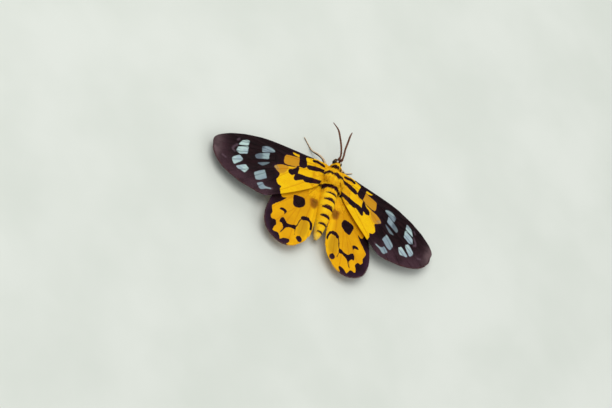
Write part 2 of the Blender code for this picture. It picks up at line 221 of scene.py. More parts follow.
def settle(obj, finish, slot, *nodes):
    """Gives a finished piece its material and its body, and hides the nodes that it stands for; slot is
    not used.
    """
    obj.data.materials.clear()
    obj.data.materials.append(finish)
    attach(obj, "root")
    if nodes:
        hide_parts(*nodes)
    print(f"{obj.name}: {len(obj.data.polygons)} faces")


def joined(objects, name):
    select_only(*objects)
    bpy.ops.object.join()
    obj = bpy.context.active_object
    obj.name = obj.data.name = name
    return obj


# %% [markdown]
# ## Shader maths in plain Python
#
# A material's node tree is easier to read as arithmetic. `Value` wraps one socket, and `+`, `-`
# and `*` on it add the Math nodes. `Finish` owns the tree, and its one method `node` adds any
# other kind of node. Colours are mixed by `mix`, because a Math node would turn them grey, and
# `over` lays several paints on a colour in turn.


# %% A value
class Value:
    """One output socket of a node tree, on which arithmetic adds Math nodes."""

    def __init__(self, finish, socket):
        self.finish, self.socket = finish, socket

    def math(self, operation, *others):
        feeds = dict(enumerate((self, *others)))
        return self.finish.node("ShaderNodeMath", {"operation": operation}, feeds)

    def __add__(self, other):
        return self.math("ADD", other)

    def __sub__(self, other):
        return self.math("SUBTRACT", other)

    def __mul__(self, other):
        return self.math("MULTIPLY", other)

    def __rsub__(self, other):
        return self * -1.0 + other

    def between(self, low, high, start=0.0, end=1.0):
        """Rises smoothly from start to end while the value goes from low to high."""
        feeds = {0: self, 1: low, 2: high, 3: start, 4: end}
        return self.finish.node("ShaderNodeMapRange", {"interpolation_type": "SMOOTHSTEP"}, feeds)

    def under(self, edge, softness):
        """1 where the value is under the edge, 0 where it is over, with a soft step."""
        return self.between(edge - softness, edge + softness, 1.0, 0.0)


# %% A finish
class Finish:
    """A material, and one method that adds any node to it."""

    def __init__(self, name, shine=0.12):
        self.material = bpy.data.materials.new(name)
        self.material.use_nodes = True
        self.tree = self.material.node_tree
        self.shader = self.tree.nodes["Principled BSDF"]
        self.shader.inputs["Specular IOR Level"].default_value = shine
        place = self.tree.nodes.new("ShaderNodeTexCoord")
        self.place = Value(self, place.outputs["Object"])

    def feed(self, socket, value):
        if isinstance(value, Value):
            self.tree.links.new(value.socket, socket)
        else:
            socket.default_value = value

    def node(self, kind, settings=None, feeds=None, out=0):
        made = self.tree.nodes.new(kind)
        for name, value in (settings or {}).items():
            setattr(made, name, value)
        for name, value in (feeds or {}).items():
            self.feed(made.inputs[name], value)
        return Value(self, made.outputs[out])

    def attribute(self, name):
        return self.node("ShaderNodeAttribute", {"attribute_name": name}, out="Fac")

    def noise(self, size_mm, detail=2.0, place=None):
        feeds = {"Vector": place or self.place, "Scale": 1 / (size_mm * MM), "Detail": detail}
        return self.node("ShaderNodeTexNoise", {}, feeds)

    def cells(self, size_mm, place=None):
        feeds = {"Vector": place or self.place, "Scale": 1 / (size_mm * MM)}
        return self.node("ShaderNodeTexVoronoi", {}, feeds, out="Distance")

    def stretched(self, scale, turn_z=0.0):
        feeds = {"Vector": self.place, "Scale": scale, "Rotation": (0.0, 0.0, turn_z)}
        return self.node("ShaderNodeMapping", {}, feeds)

    def mix(self, share, first, second):
        feeds = {0: share, 6: first, 7: second}
        return self.node("ShaderNodeMix", {"data_type": "RGBA"}, feeds, out=2)

    def over(self, colour, *layers):
        """Lays paints over a colour in turn, each given as a mask, a strength and a paint."""
        for mask, strength, layer in layers:
            colour = self.mix(mask * strength, colour, layer)
        return colour

    def bump(self, height, depth_mm):
        return self.node("ShaderNodeBump", {}, {"Height": height, "Distance": depth_mm * MM})

    def done(self, **feeds):
        for name, value in feeds.items():
            self.feed(self.shader.inputs[name.replace("_", " ").title()], value)
        print(f"{self.material.name}: {len(self.tree.nodes)} nodes")
        return self.material


# %% A paint
def paint(red, green, blue):
    """A colour as it looks on a screen, 0 to 255, turned into the shader's linear light."""
    shares = [c / 255 for c in (red, green, blue)]
    linear = [s / 12.92 if s <= 0.04045 else ((s + 0.055) / 1.055) ** 2.4 for s in shares]
    return (*linear, 1.0)


# %% [markdown]
# ## Camera
#
# The moth was photographed from above and behind, over its left shoulder, with the camera rolled
# so that the left wing points up to the left. A long lens keeps the wings free of perspective. The
# aim puts the middle of the wing roots, at shoulder height, a little right of the picture's middle
# and above it.

# %% Set up the camera
CAMERA_HEADING = math.radians(34.8)
CAMERA_PITCH = math.radians(47.2)
CAMERA_ROLL = math.radians(54.97)
CAMERA_LENS = 200.0
CAMERA_DISTANCE = 1.0469
SHOULDER = Vector(to_world((0.0, 0.0, 5.7))[0])
SHOULDER_RIGHT_OF_MIDDLE = 8.31 * MM
SHOULDER_ABOVE_MIDDLE = 8.93 * MM

looking = Vector(
    (
        math.sin(CAMERA_HEADING) * math.cos(CAMERA_PITCH),
        math.cos(CAMERA_HEADING) * math.cos(CAMERA_PITCH),
        -math.sin(CAMERA_PITCH),
    )
)
turn = (-looking).to_track_quat("Z", "Y") @ Quaternion((0, 0, 1), CAMERA_ROLL)
aim = SHOULDER + turn @ Vector((-SHOULDER_RIGHT_OF_MIDDLE, -SHOULDER_ABOVE_MIDDLE, 0.0))
bpy.ops.object.camera_add(location=aim - looking * CAMERA_DISTANCE)
camera = bpy.context.active_object
camera.rotation_mode = "QUATERNION"
camera.rotation_quaternion = turn
camera.data.lens = CAMERA_LENS
camera.data.sensor_width = 36.0
camera.data.clip_start = 0.01
bpy.context.scene.camera = camera
print("camera at", tuple(round(c, 3) for c in camera.location))

# %% [markdown]
# ## Floor and light
#
# A plain pale floor and three large soft lamps: a strong one over the moth's left, a weaker one
# from the right to open the shadows, and a low one beyond the head to catch the scales. Each has a
# place and a size in metres, and a power in watts. One sun lamp would be simpler, but its hard
# shadows would hide the markings beside the body.

# %% Floor
FLOOR_SIZE = 6.0
bpy.ops.object.select_all(action="DESELECT")
bpy.ops.mesh.primitive_plane_add(size=FLOOR_SIZE, location=(0, 0, 0))
floor = bpy.context.active_object
floor.name = "floor"
floor_finish = Finish("pale floor")
floor_tone = floor_finish.noise(40.0, 3.0).between(0.3, 0.7)
floor_colour = floor_finish.mix(floor_tone, paint(214, 218, 208), paint(222, 225, 216))
floor.data.materials.append(floor_finish.done(base_color=floor_colour, roughness=0.9))

# %% Lamps
LAMPS = {
    "key": ((-0.3, 0.05, 0.8), 0.7, 4.4),
    "fill": ((0.6, -0.3, 0.5), 0.9, 1.7),
    "back": ((0.1, 0.7, 0.35), 0.6, 1.2),
}
for lamp_name, (lamp_place, lamp_size, lamp_power) in LAMPS.items():
    bpy.ops.object.light_add(type="AREA", location=lamp_place)
    lamp = bpy.context.active_object
    lamp.name = f"lamp_{lamp_name}"
    lamp.data.size = lamp_size
    lamp.data.energy = lamp_power
    lamp.rotation_mode = "QUATERNION"
    lamp.rotation_quaternion = Vector(lamp_place).to_track_quat("Z", "Y")
world = bpy.data.worlds.new("studio")
world.use_nodes = True
world.node_tree.nodes["Background"].inputs["Color"].default_value = paint(232, 236, 240)
world.node_tree.nodes["Background"].inputs["Strength"].default_value = 0.5
bpy.context.scene.world = world
bpy.context.scene.view_settings.view_transform = "Standard"
print(f"{len(LAMPS)} lamps")

# %% [markdown]
# ## Wings: outline and surface
#
# A moth's wing is two thin sheets pressed together over a fan of hollow veins. It could be cut
# from a plane, but then its edge would be ragged. Here a grid is bent instead: its four sides are
# laid along the front edge, the outer margin, the inner margin and the root, and the rest of the
# grid follows between them. So the rows run along the wing and the edge is as smooth as its curve.
# The outlines follow the frame's plates, and so does the droop towards the tip. "tip", "corner" and
# "heel" say which points of the outline part its four sides, "hinge", "reach" and "droop" bend the
# surface down, and "grid" says how many squares it has. The surface dips between the veins and is
# a little wavy along the margin.

# %% Plan of the forewing
FOREWING = {
    "outline": [
        (2.0, 1.9), (12.0, 1.7), (23.8, 1.0), (31.7, -0.8), (37.6, -3.4), (41.0, -6.2),
        (41.5, -8.8), (40.2, -12.1), (37.0, -15.3), (31.3, -17.7), (26.0, -18.6), (22.2, -19.0),
        (20.2, -18.0), (15.7, -15.2), (9.4, -10.8), (4.9, -6.9), (3.6, -4.2), (2.0, -2.3),
    ],
    "tip": 6,
    "corner": 11,
    "heel": 17,
    "hinge": (2.9, 0.0, 6.2),
    "reach": 38.0,
    "droop": 3.2,
    "grid": (230, 110),
    "veins": [
        [(3.0, 1.3), (14.0, 0.9), (26.0, 0.2)],
        [(3.0, 0.5), (12.0, -0.8), (20.5, -2.4)],
        [(17.0, -1.7), (24.0, -1.4), (31.6, -1.2)],
        [(20.5, -2.4), (28.0, -2.7), (36.0, -3.1)],
        [(28.0, -2.7), (33.5, -4.1), (39.2, -5.2)],
        [(20.5, -2.4), (30.0, -4.9), (41.0, -7.6)],
        [(20.5, -2.4), (30.0, -6.6), (40.8, -10.8)],
        [(20.2, -5.0), (29.0, -9.0), (39.0, -13.7)],
        [(18.8, -7.4), (27.0, -11.6), (35.2, -16.1)],
        [(3.0, -0.5), (11.0, -3.6), (18.8, -7.4)],
        [(17.4, -6.7), (24.0, -12.0), (30.7, -17.7)],
        [(12.6, -4.3), (19.0, -11.0), (25.7, -18.4)],
        [(20.5, -2.4), (20.0, -5.0), (18.8, -7.4)],
        [(3.0, -1.4), (8.0, -6.4), (14.0, -12.0), (21.2, -18.2)],
    ],
}

# %% Plan of the hindwing
HINDWING = {
    "outline": [
        (2.0, -2.6), (6.0, -4.3), (10.6, -8.2), (14.8, -12.2), (17.7, -15.4), (19.1, -18.6),
        (19.7, -23.0), (18.8, -26.8), (16.2, -29.4), (12.2, -30.8), (8.4, -30.1), (5.5, -28.0),
        (3.5, -24.6), (2.75, -19.0), (2.85, -13.0), (2.95, -8.4), (2.0, -6.3),
    ],
    "tip": 5,
    "corner": 11,
    "heel": 16,
    "hinge": (2.9, -4.6, 4.95),
    "reach": 28.0,
    "droop": 1.6,
    "grid": (150, 110),
    "veins": [
        [(3.0, -3.9), (9.6, -8.8), (17.2, -15.4)],
        [(3.0, -4.4), (7.0, -8.4), (10.8, -13.2)],
        [(10.8, -13.2), (15.0, -16.2), (18.9, -19.2)],
        [(10.8, -13.2), (15.4, -18.0), (19.5, -23.2)],
        [(8.8, -15.6), (13.4, -21.6), (17.9, -27.8)],
        [(3.0, -5.0), (6.2, -9.8), (8.8, -15.6)],
        [(8.8, -15.6), (11.6, -22.6), (14.0, -30.2)],
        [(6.9, -11.2), (8.8, -20.4), (9.6, -30.2)],
        [(10.8, -13.2), (10.2, -14.6), (8.8, -15.6)],
        [(3.4, -6.2), (5.4, -17.0), (6.4, -28.2)],
    ],
}
WINGS = {"forewing": FOREWING, "hindwing": HINDWING}
print("veins:", {kind: len(plan["veins"]) for kind, plan in WINGS.items()})

# %% Level and sides of a wing
DROOP_POWER = 1.3
FRINGE_LENGTH = 0.55
PULL_REACH = 3.0


def wing_level(plan, flat):
    """Height of the wing's middle surface over flat points, in moth millimetres."""
    across = flat[:, 0] - plan["hinge"][0]
    if plan is HINDWING:
        across = np.hypot(across, flat[:, 1] - plan["hinge"][1])
    return plan["hinge"][2] - plan["droop"] * np.clip(across / plan["reach"], 0, None) ** DROOP_POWER


def wing_sides(plan):
    """The outline as front edge, outer margin, inner margin and root, all from front or root."""
    steps = 12
    ring = smooth(plan["outline"], steps, closed=True)
    tip, corner, heel = (plan[key] * steps for key in ("tip", "corner", "heel"))
    root = np.vstack([ring[heel:], ring[:1]])[::-1]
    return ring[: tip + 1], ring[tip : corner + 1], ring[corner : heel + 1][::-1], root


def vein_strokes(plan):
    return [(0.0, vein) for vein in plan["veins"]]


def pulled_in(plan, flat):
    """Draws the membrane in along the outer margin, to leave room for the fringe."""
    away = flat - plan["hinge"][:2]
    near = np.clip(1 - distance_to_line(flat, wing_sides(plan)[1]) / PULL_REACH, 0, 1)[:, None]
    return flat - away / np.linalg.norm(away, axis=1)[:, None] * FRINGE_LENGTH * near


# %% Bend a grid into a wing
VALLEY_DEPTH = 0.1
VALLEY_REACH = 1.1
MARGIN_WAVE = 0.12
WAVE_REACH = 4.0
WAVE_TURNS = (1.1, 0.9)
EDGE_SAMPLES = 400


def bend_grid(plan, name):
    columns, rows = plan["grid"]
    bpy.ops.object.select_all(action="DESELECT")
    bpy.ops.mesh.primitive_grid_add(x_subdivisions=columns, y_subdivisions=rows, size=1.0)
    wing = bpy.context.active_object
    wing.name = wing.data.name = name
    square = vertex_rows(wing, "co")
    u, v = square[:, 0] + 0.5, 0.5 - square[:, 1]
    front, margin, inner, root = wing_sides(plan)

    def side(curve, share):
        known = np.linspace(0, 1, EDGE_SAMPLES)
        return np.column_stack([np.interp(share, known, c) for c in spaced(curve, EDGE_SAMPLES).T])

    uu, vv = u[:, None], v[:, None]
    flat = (
        (1 - vv) * side(front, u)
        + vv * side(inner, u)
        + (1 - uu) * side(root, v)
        + uu * side(margin, v)
        - (1 - uu) * (1 - vv) * front[0]
        - uu * (1 - vv) * front[-1]
        - (1 - uu) * vv * inner[0]
        - uu * vv * inner[-1]
    )
    flat = pulled_in(plan, flat)
    valley = np.clip(distance_to_marks(flat, strokes=vein_strokes(plan)) / VALLEY_REACH, 0, 1) ** 2
    near = np.clip(1 - distance_to_line(flat, margin) / WAVE_REACH, 0, 1)
    wave = MARGIN_WAVE * np.sin(flat @ WAVE_TURNS) * near
    set_places(wing, np.column_stack([flat, wing_level(plan, flat) - VALLEY_DEPTH * valley + wave]))
    print(f"{name}: grid of {columns} by {rows}")
    return wing


# %% [markdown]
# ## Wings: the pattern
#
# The pattern could be painted on an image, but that would blur when it is seen close by. Here it is
# drawn as smooth patches, each an outline, and strokes, each a width and a line, in the wing's own
# millimetres. Each vertex keeps its distance to the nearest mark, negative inside it, and the
# material turns that distance into an edge. So the edge stays crisp however large the picture is,
# and a little noise makes it ragged, as rows of scales do. The forewing's outer half is dark with
# pale, nearly bare windows, and its inner half is yellow, with dark bands that run on over the body.

# %% Dark marks of the forewing
FOREWING_DARK = [
    [
        (15.4, 3.2), (15.2, 1.2), (14.9, 0.25), (13.6, -0.1), (12.4, -0.25), (13.8, -0.55),
        (15.4, -0.9), (17.0, -1.4), (17.4, -2.7), (17.1, -4.4), (15.2, -4.35), (13.0, -3.85),
        (15.0, -4.75), (16.8, -5.1), (18.4, -5.6), (20.1, -7.1), (19.2, -8.1), (17.9, -8.9),
        (18.2, -10.2), (18.6, -11.5), (17.7, -12.6), (16.6, -13.0), (16.8, -14.3), (16.1, -16.2),
        (16.0, -19.5), (30.0, -24.0), (46.0, -18.0), (47.0, -2.0), (40.0, 4.0), (25.0, 5.0),
    ],
    [
        (12.7, 0.5), (12.4, -1.2), (12.0, -3.1), (10.7, -3.2), (9.6, -2.2), (9.9, -0.4), (10.3, 0.8),
        (8.7, 1.4), (8.4, 2.4), (12.6, 2.4),
    ],
    [
        (12.5, -3.3), (13.6, -4.9), (15.2, -5.9), (15.2, -7.1), (14.1, -7.4), (13.2, -6.9),
        (12.2, -6.4), (12.0, -5.2), (12.0, -4.0),
    ],
    [
        (12.6, -6.3), (11.2, -5.7), (9.4, -5.5), (7.6, -5.2), (5.4, -4.9), (4.3, -5.1), (4.4, -6.1),
        (6.4, -6.85), (9.2, -7.7), (9.9, -7.3), (11.0, -7.8), (12.4, -8.7), (13.1, -8.0),
    ],
]
FOREWING_DARK_STROKES = [
    (1.7, [(8.7, -2.0), (7.4, -1.65), (6.3, -1.4)]),
    (1.35, [(6.5, -1.35), (5.2, -1.15), (4.1, -1.05), (3.2, -1.0)]),
    (1.4, [(4.6, -5.4), (3.6, -5.2), (3.0, -4.9)]),
    (0.95, [(7.7, 1.0), (6.4, 1.2), (5.2, 1.0), (4.0, 0.85)]),
    (0.35, [(11.4, -3.0), (12.8, -3.6)]),
    (1.5, [(16.8, 1.3), (14.4, 1.35), (12.6, 1.5)]),
    (0.35, [(12.4, 1.72), (8.0, 1.72)]),
]

# %% Windows of the forewing
FOREWING_WINDOWS = [
    [
        (32.9, -5.3), (32.5, -4.3), (32.0, -3.4), (30.8, -2.6), (29.8, -2.5), (29.8, -3.4),
        (29.9, -4.1), (31.4, -4.8),
    ],
    [
        (32.8, -6.1), (31.3, -5.3), (29.8, -4.6), (29.6, -5.8), (29.6, -7.1), (30.6, -7.6),
        (31.8, -8.2), (32.7, -8.1), (33.3, -7.8), (33.1, -6.8),
    ],
    [
        (34.1, -11.1), (33.6, -10.1), (31.9, -8.8), (31.2, -9.2), (30.6, -9.8), (31.3, -10.9),
        (32.2, -11.8), (32.9, -12.5), (33.5, -12.2),
    ],
    [
        (32.2, -13.0), (31.0, -12.1), (29.4, -11.1), (28.8, -11.5), (28.2, -12.1), (28.6, -13.0),
        (29.2, -13.9), (30.2, -13.8), (31.0, -13.7), (31.6, -13.6),
    ],
    [
        (25.3, -2.4), (24.2, -1.7), (23.1, -1.4), (21.9, -1.5), (21.0, -1.9), (21.2, -2.6),
        (23.1, -3.5), (24.8, -4.2), (25.2, -3.4),
    ],
    [
        (26.9, -6.2), (25.8, -5.2), (24.2, -4.3), (22.6, -3.5), (22.5, -4.5), (22.5, -5.7),
        (24.3, -6.5), (26.3, -7.3), (26.8, -6.9),
    ],
    [(25.6, -8.6), (24.0, -7.6), (22.0, -6.7), (22.3, -7.3), (23.0, -8.0), (24.0, -8.8), (25.0, -8.8)],
    [
        (26.1, -12.7), (25.6, -11.9), (23.2, -10.1), (22.7, -10.6), (21.8, -12.3), (22.4, -12.9),
        (23.7, -14.0), (24.9, -14.5), (25.4, -14.3), (25.8, -13.5),
    ],
    [
        (24.5, -15.8), (24.1, -15.3), (22.9, -14.6), (22.4, -15.1), (21.8, -15.4), (20.9, -15.4),
        (19.8, -15.2), (19.8, -15.6), (21.2, -16.1), (22.5, -16.9), (23.3, -17.0), (23.9, -16.5),
    ],
]

# %% Faint marks of the forewing
FOREWING_HAZE = [
    (0.35, [(33.4, -5.6), (34.3, -6.7), (34.5, -7.7), (33.8, -8.1)]),
    (0.2, [(33.6, -3.9), (33.1, -3.2)]),
    (0.3, [(21.4, -15.7), (20.4, -15.6), (19.4, -15.2)]),
    (0.15, [(37.3, -11.2), (36.2, -11.6)]),
    (1.0, [(19.5, -7.1), (19.0, -7.5)]),
    (0.5, [(21.4, -18.8), (20.5, -18.4)]),
]
FOREWING_SHADE = [
    (3.4, [(27.8, -6.2), (26.1, -5.7)]),
    (1.6, [(26.0, -3.4), (25.3, -2.3)]),
    (2.6, [(26.2, -8.7), (24.4, -8.1), (22.6, -7.2)]),
    (0.9, [(34.0, -8.4), (33.0, -7.9)]),
]
FOREWING_AMBER = [
    [
        (17.9, -1.0), (15.0, -0.4), (12.0, -0.2), (11.8, -3.7), (14.0, -4.5), (17.8, -4.8),
        (18.2, -3.0),
    ],
    [(15.6, -4.7), (18.6, -5.0), (20.9, -7.1), (19.2, -8.9), (17.2, -8.5), (15.9, -7.0)],
]
FOREWING["marks"] = {
    "dark": (FOREWING_DARK, FOREWING_DARK_STROKES),
    "vein": ([], vein_strokes(FOREWING)),
    "window": (FOREWING_WINDOWS, []),
    "haze": ([], FOREWING_HAZE),
    "shaded": ([], FOREWING_SHADE),
    "amber": (FOREWING_AMBER, []),
}
print("forewing marks:", *FOREWING["marks"])

# %% [markdown]
# The hindwing is yellow, deeper in colour away from the margin and brightest beside the body. It
# has a dark outer border that is widest at the front, a large spot at its middle, a smoky brown one
# beside the body and a broken, arched band between them and the border.

# %% Marks of the hindwing
HINDWING_DARK = [
    [
        (13.3, -15.0), (14.7, -16.8), (16.1, -18.2), (17.5, -19.7), (17.3, -20.8), (16.9, -21.8),
        (17.2, -23.0), (16.6, -24.0), (15.5, -24.0), (14.7, -25.2), (15.3, -26.4), (15.3, -27.6),
        (13.8, -27.6), (12.9, -28.4), (12.4, -29.3), (11.2, -28.4), (9.5, -28.1), (9.2, -28.9),
        (10.0, -30.0), (10.6, -32.5), (18.0, -32.0), (23.0, -26.0), (22.0, -17.0), (17.5, -12.0),
        (15.8, -13.4), (15.4, -14.8), (14.8, -15.5),
    ],
    [
        (11.2, -13.0), (9.5, -12.4), (7.9, -12.3), (7.0, -13.4), (7.0, -14.8), (8.4, -16.2),
        (10.4, -16.5), (11.1, -14.7),
    ],
    [(14.8, -19.7), (14.1, -18.9), (12.8, -19.0), (12.3, -19.6), (12.9, -20.8), (13.2, -20.0)],
    [
        (13.1, -21.9), (12.3, -22.3), (11.4, -23.2), (9.8, -23.0), (8.2, -22.6), (8.1, -24.0),
        (9.7, -24.1), (11.3, -24.8), (12.2, -26.2), (12.4, -25.0), (13.1, -24.0), (13.9, -23.9),
        (13.8, -22.7),
    ],
]
HINDWING_DARK_STROKES = [
    (1.9, [(6.3, -26.3), (6.1, -26.5)]),
    (1.35, [(6.5, -19.1), (5.7, -18.7), (4.7, -18.6)]),
    (0.8, [(4.5, -18.6), (3.7, -19.1), (3.2, -20.2), (3.1, -21.4)]),
    (0.35, [(6.9, -19.4), (7.4, -20.5), (7.7, -21.8), (8.1, -22.9)]),
    (0.24, [(8.2, -24.2), (7.9, -25.6)]),
    (0.3, [(12.2, -26.0), (12.8, -27.1)]),
    (1.3, [(4.4, -5.3), (3.0, -5.0), (2.2, -5.0)]),
]
HINDWING_BROWN = [
    [(5.4, -11.0), (3.8, -10.5), (2.7, -11.1), (2.6, -12.8), (3.5, -14.1), (4.9, -13.8), (5.5, -12.2)],
]
HINDWING_OCHRE = [
    [(6.6, -19.6), (4.8, -19.2), (4.0, -21.0), (4.0, -23.6), (5.4, -25.4), (7.3, -24.6), (7.5, -21.6)],
]
HINDWING["marks"] = {
    "dark": (HINDWING_DARK, HINDWING_DARK_STROKES),
    "vein": ([], vein_strokes(HINDWING)),
    "brown": (HINDWING_BROWN, []),
    "ochre": (HINDWING_OCHRE, []),
}
print("hindwing marks:", *HINDWING["marks"])


# %% Write the pattern on a mesh
def write_wing_pattern(obj, plan):
    flat = to_moth(obj.data)[:, :2]
    flat[:, 0] = np.abs(flat[:, 0])
    for name, (patches, strokes) in plan["marks"].items():
        write_attribute(obj, name, distance_to_marks(flat, patches, strokes))
    write_attribute(obj, "margin", distance_to_line(flat, wing_sides(plan)[1]))
    write_attribute(obj, "reach", flat[:, 0])


# %% [markdown]
# Both wings are coloured in the same order: yellow scales, then dark ones, then the edge between
# them. What only one wing has is laid over by a function of its own. Scales lie in rows like roof
# tiles, so the fine bump is a cell pattern stretched along the wing. Dark scales turn purple
# towards the edge of a mark and shine a little more than the yellow ones, and the windows, which
# have few scales, are the smoothest.


# %% Masks of a wing
class WingFinish(Finish):
    """A finish with the masks that every layer of a wing uses."""

    def __init__(self, name):
        super().__init__(name, 0.06)
        self.ragged = (self.noise(0.22, 3.0) - 0.5) * 0.42 + (self.noise(1.4) - 0.5) * 0.3
        self.streaks = self.noise(0.9, 4.0, self.stretched((0.35, 1.0, 1.0), 0.4))
        self.patchy = self.noise(5.0, 2.0)
        self.vein = self.attribute("vein").under(0.16, 0.1)
        self.margin = self.attribute("margin")
        self.reach = self.attribute("reach")

    def within(self, name, edge, softness, wobble=1.0):
        """1 inside a mark, with a ragged edge."""
        return (self.attribute(name) + self.ragged * wobble).under(edge, softness)


# %% Layers that only one wing has
def forewing_light(finish, light):
    """Amber between the dark bands, and haze where dark and yellow scales mix."""
    return finish.over(
        light,
        (finish.within("amber", 0.0, 0.35), 0.9, paint(192, 134, 32)),
        (finish.within("haze", 0.1, 0.4), 0.75, paint(164, 146, 96)),
    )


def hindwing_light(finish, light):
    """Deeper inside, brighter beside the body, with an ochre patch and a smoky spot."""
    core = finish.attribute("brown").between(-0.1, -1.2) * finish.streaks.between(0.35, 0.6, 0.5, 1.0)
    smoky = finish.mix(core, paint(150, 84, 22), paint(82, 34, 16))
    return finish.over(
        light,
        (finish.margin.between(3.5, 9.0), 0.45, paint(204, 144, 12)),
        (finish.reach.between(5.2, 3.4), 0.75, paint(248, 194, 14)),
        (finish.within("ochre", 0.0, 0.7), 0.6, paint(182, 136, 20)),
        (finish.within("brown", 0.0, 0.5, 1.4), 0.85, smoky),
    )


def window_colour(finish):
    milky = finish.mix(finish.patchy.between(0.4, 0.6), paint(182, 206, 200), paint(158, 176, 184))
    shaded = (finish.attribute("shaded") + finish.ragged).between(0.6, -0.5)
    return finish.over(
        milky,
        (finish.streaks.between(0.5, 0.75), 0.5, paint(122, 138, 150)),
        (finish.vein, 0.5, paint(74, 74, 82)),
        (finish.reach.between(29.0, 26.5), 0.5, paint(104, 120, 130)),
        (shaded, 0.65, paint(58, 64, 78)),
    )


def forewing_dark(finish, dark, window):
    """Paler towards the margin, most of all at the tip, with sparse scales, haze and windows."""
    outer = finish.margin.between(8.5, 0.5) * finish.patchy.between(0.3, 0.6, 0.4, 1.0)
    pale = finish.mix(finish.reach.between(36.5, 40.5), paint(72, 47, 56), paint(112, 90, 92))
    return finish.over(
        dark,
        (outer, 0.8, pale),
        (finish.noise(0.22, 2.0).between(0.54, 0.68) * outer, 0.4, paint(116, 90, 96)),
        (finish.within("haze", 0.1, 0.4), 0.45, paint(122, 98, 110)),
        (window, 1.0, window_colour(finish)),
    )


def hindwing_dark(finish, dark):
    outer = finish.margin.between(3.0, 0.5) * finish.patchy.between(0.3, 0.6, 0.5, 1.0)
    return finish.over(dark, (outer, 0.7, paint(62, 36, 56)))


# %% Wing finishes
def wing_finish(kind, yellow, deep_yellow):
    finish = WingFinish(f"{kind} scales")
    is_fore = kind == "forewing"
    is_dark = finish.within("dark", 0.0, 0.07)
    roughness = 0.62 - is_dark * 0.12

    light = finish.mix(finish.patchy.between(0.35, 0.65), yellow, deep_yellow)
    if is_fore:
        light = forewing_light(finish, light)
    light = finish.over(
        light,
        (finish.streaks.between(0.5, 0.75), 0.3, paint(222, 146, 10)),
        (finish.noise(0.3, 2.0).between(0.45, 0.7), 0.25, paint(208, 132, 8)),
        (finish.vein, 0.3, paint(196, 118, 10)),
    )

    dark = finish.over(
        finish.mix(finish.streaks.between(0.3, 0.7), paint(20, 8, 10), paint(34, 15, 18)),
        (finish.attribute("dark").between(-1.2, -0.2), 0.55, paint(36, 8, 30)),
        (finish.vein, 0.4, paint(14, 5, 8)),
    )
    if is_fore:
        window = finish.within("window", 0.0, 0.16, 0.45)
        dark = forewing_dark(finish, dark, window)
        roughness = roughness - window * is_dark * 0.14
    else:
        light = hindwing_light(finish, light)
        dark = hindwing_dark(finish, dark)
    dark = finish.over(dark, (finish.margin.under(0.75, 0.25), 0.6, paint(66, 42, 48)))

    rows = finish.cells(0.16, finish.stretched((1.0, 0.55, 1.0)))
    return finish.done(
        base_color=finish.mix(is_dark, light, dark),
        roughness=roughness + (rows - 0.4) * 0.15,
        normal=finish.bump(rows * 0.6 + finish.streaks * 0.4, 0.035),
    )


forewing_finish = wing_finish("forewing", paint(242, 194, 10), paint(236, 182, 8))
hindwing_finish = wing_finish("hindwing", paint(236, 174, 8), paint(222, 158, 8))

# %% [markdown]
# ## Wings: veins and fringe
#
# Each vein is a path with a round bevel that tapers outwards, turned into a mesh and left half
# sunk in the membrane. The fringe is a row of hundreds of narrow scales along the outer margin. It
# is made as one mesh from arrays, because there are too many to copy one by one: every blade is a
# bent three-sided taper with a closed root.


# %% Tubes from paths
MERGE = 1e-6
VEIN_RADII = (0.2, 0.09)
VEIN_LIFT = 0.02


def tube(name, path, radii, sides=2):
    """A closed round tube through rows of moth millimetres, with a radius at each."""
    bpy.ops.object.select_all(action="DESELECT")
    bpy.ops.curve.primitive_nurbs_path_add()
    guide = bpy.context.active_object
    guide.name = name
    curve = guide.data
    curve.splines.clear()
    curve.dimensions = "3D"
    spline = curve.splines.new("POLY")
    spline.points.add(len(path) - 1)
    for point, place, radius in zip(spline.points, to_world(path), radii):
        point.co = (*place, 1.0)
        point.radius = radius
    curve.bevel_depth = MM
    curve.bevel_resolution = sides
    curve.use_fill_caps = True
    guide.location = (0, 0, 0)
    bpy.ops.object.convert(target="MESH")
    made = bpy.context.active_object
    face_outwards(made, MERGE)
    shade_smooth(made)
    return made


def wing_veins(plan, name):
    tubes = []
    for vein in plan["veins"]:
        flat = pulled_in(plan, spaced(smooth(vein, 8), 40))
        reach = (flat[:, 0] - plan["hinge"][0]) / plan["outline"][plan["tip"]][0]
        path = np.column_stack([flat, wing_level(plan, flat) + VEIN_LIFT])
        tubes.append(tube(name, path, np.interp(reach, (0, 1), VEIN_RADII)))
    return joined(tubes, name)


# %% Blades from arrays
BLADE_RINGS = ((0.0, 1.0), (0.5, 0.85))
BLADE_SECTION = ((-0.5, 0.0), (0.5, 0.0), (0.0, 1.0))
BLADE_POINTS = len(BLADE_RINGS) * len(BLADE_SECTION) + 1
BLADE_PATCH = 0.003
CHART_EDGE = 0.02


def unit(rows):
    return rows / np.maximum(np.linalg.norm(rows, axis=1), 1e-9)[:, None]


def on_chart(*shares):
    """Places on a chart from two shares, 0 to 1, kept clear of its edge."""
    return CHART_EDGE + (1 - 2 * CHART_EDGE) * np.column_stack(shares)


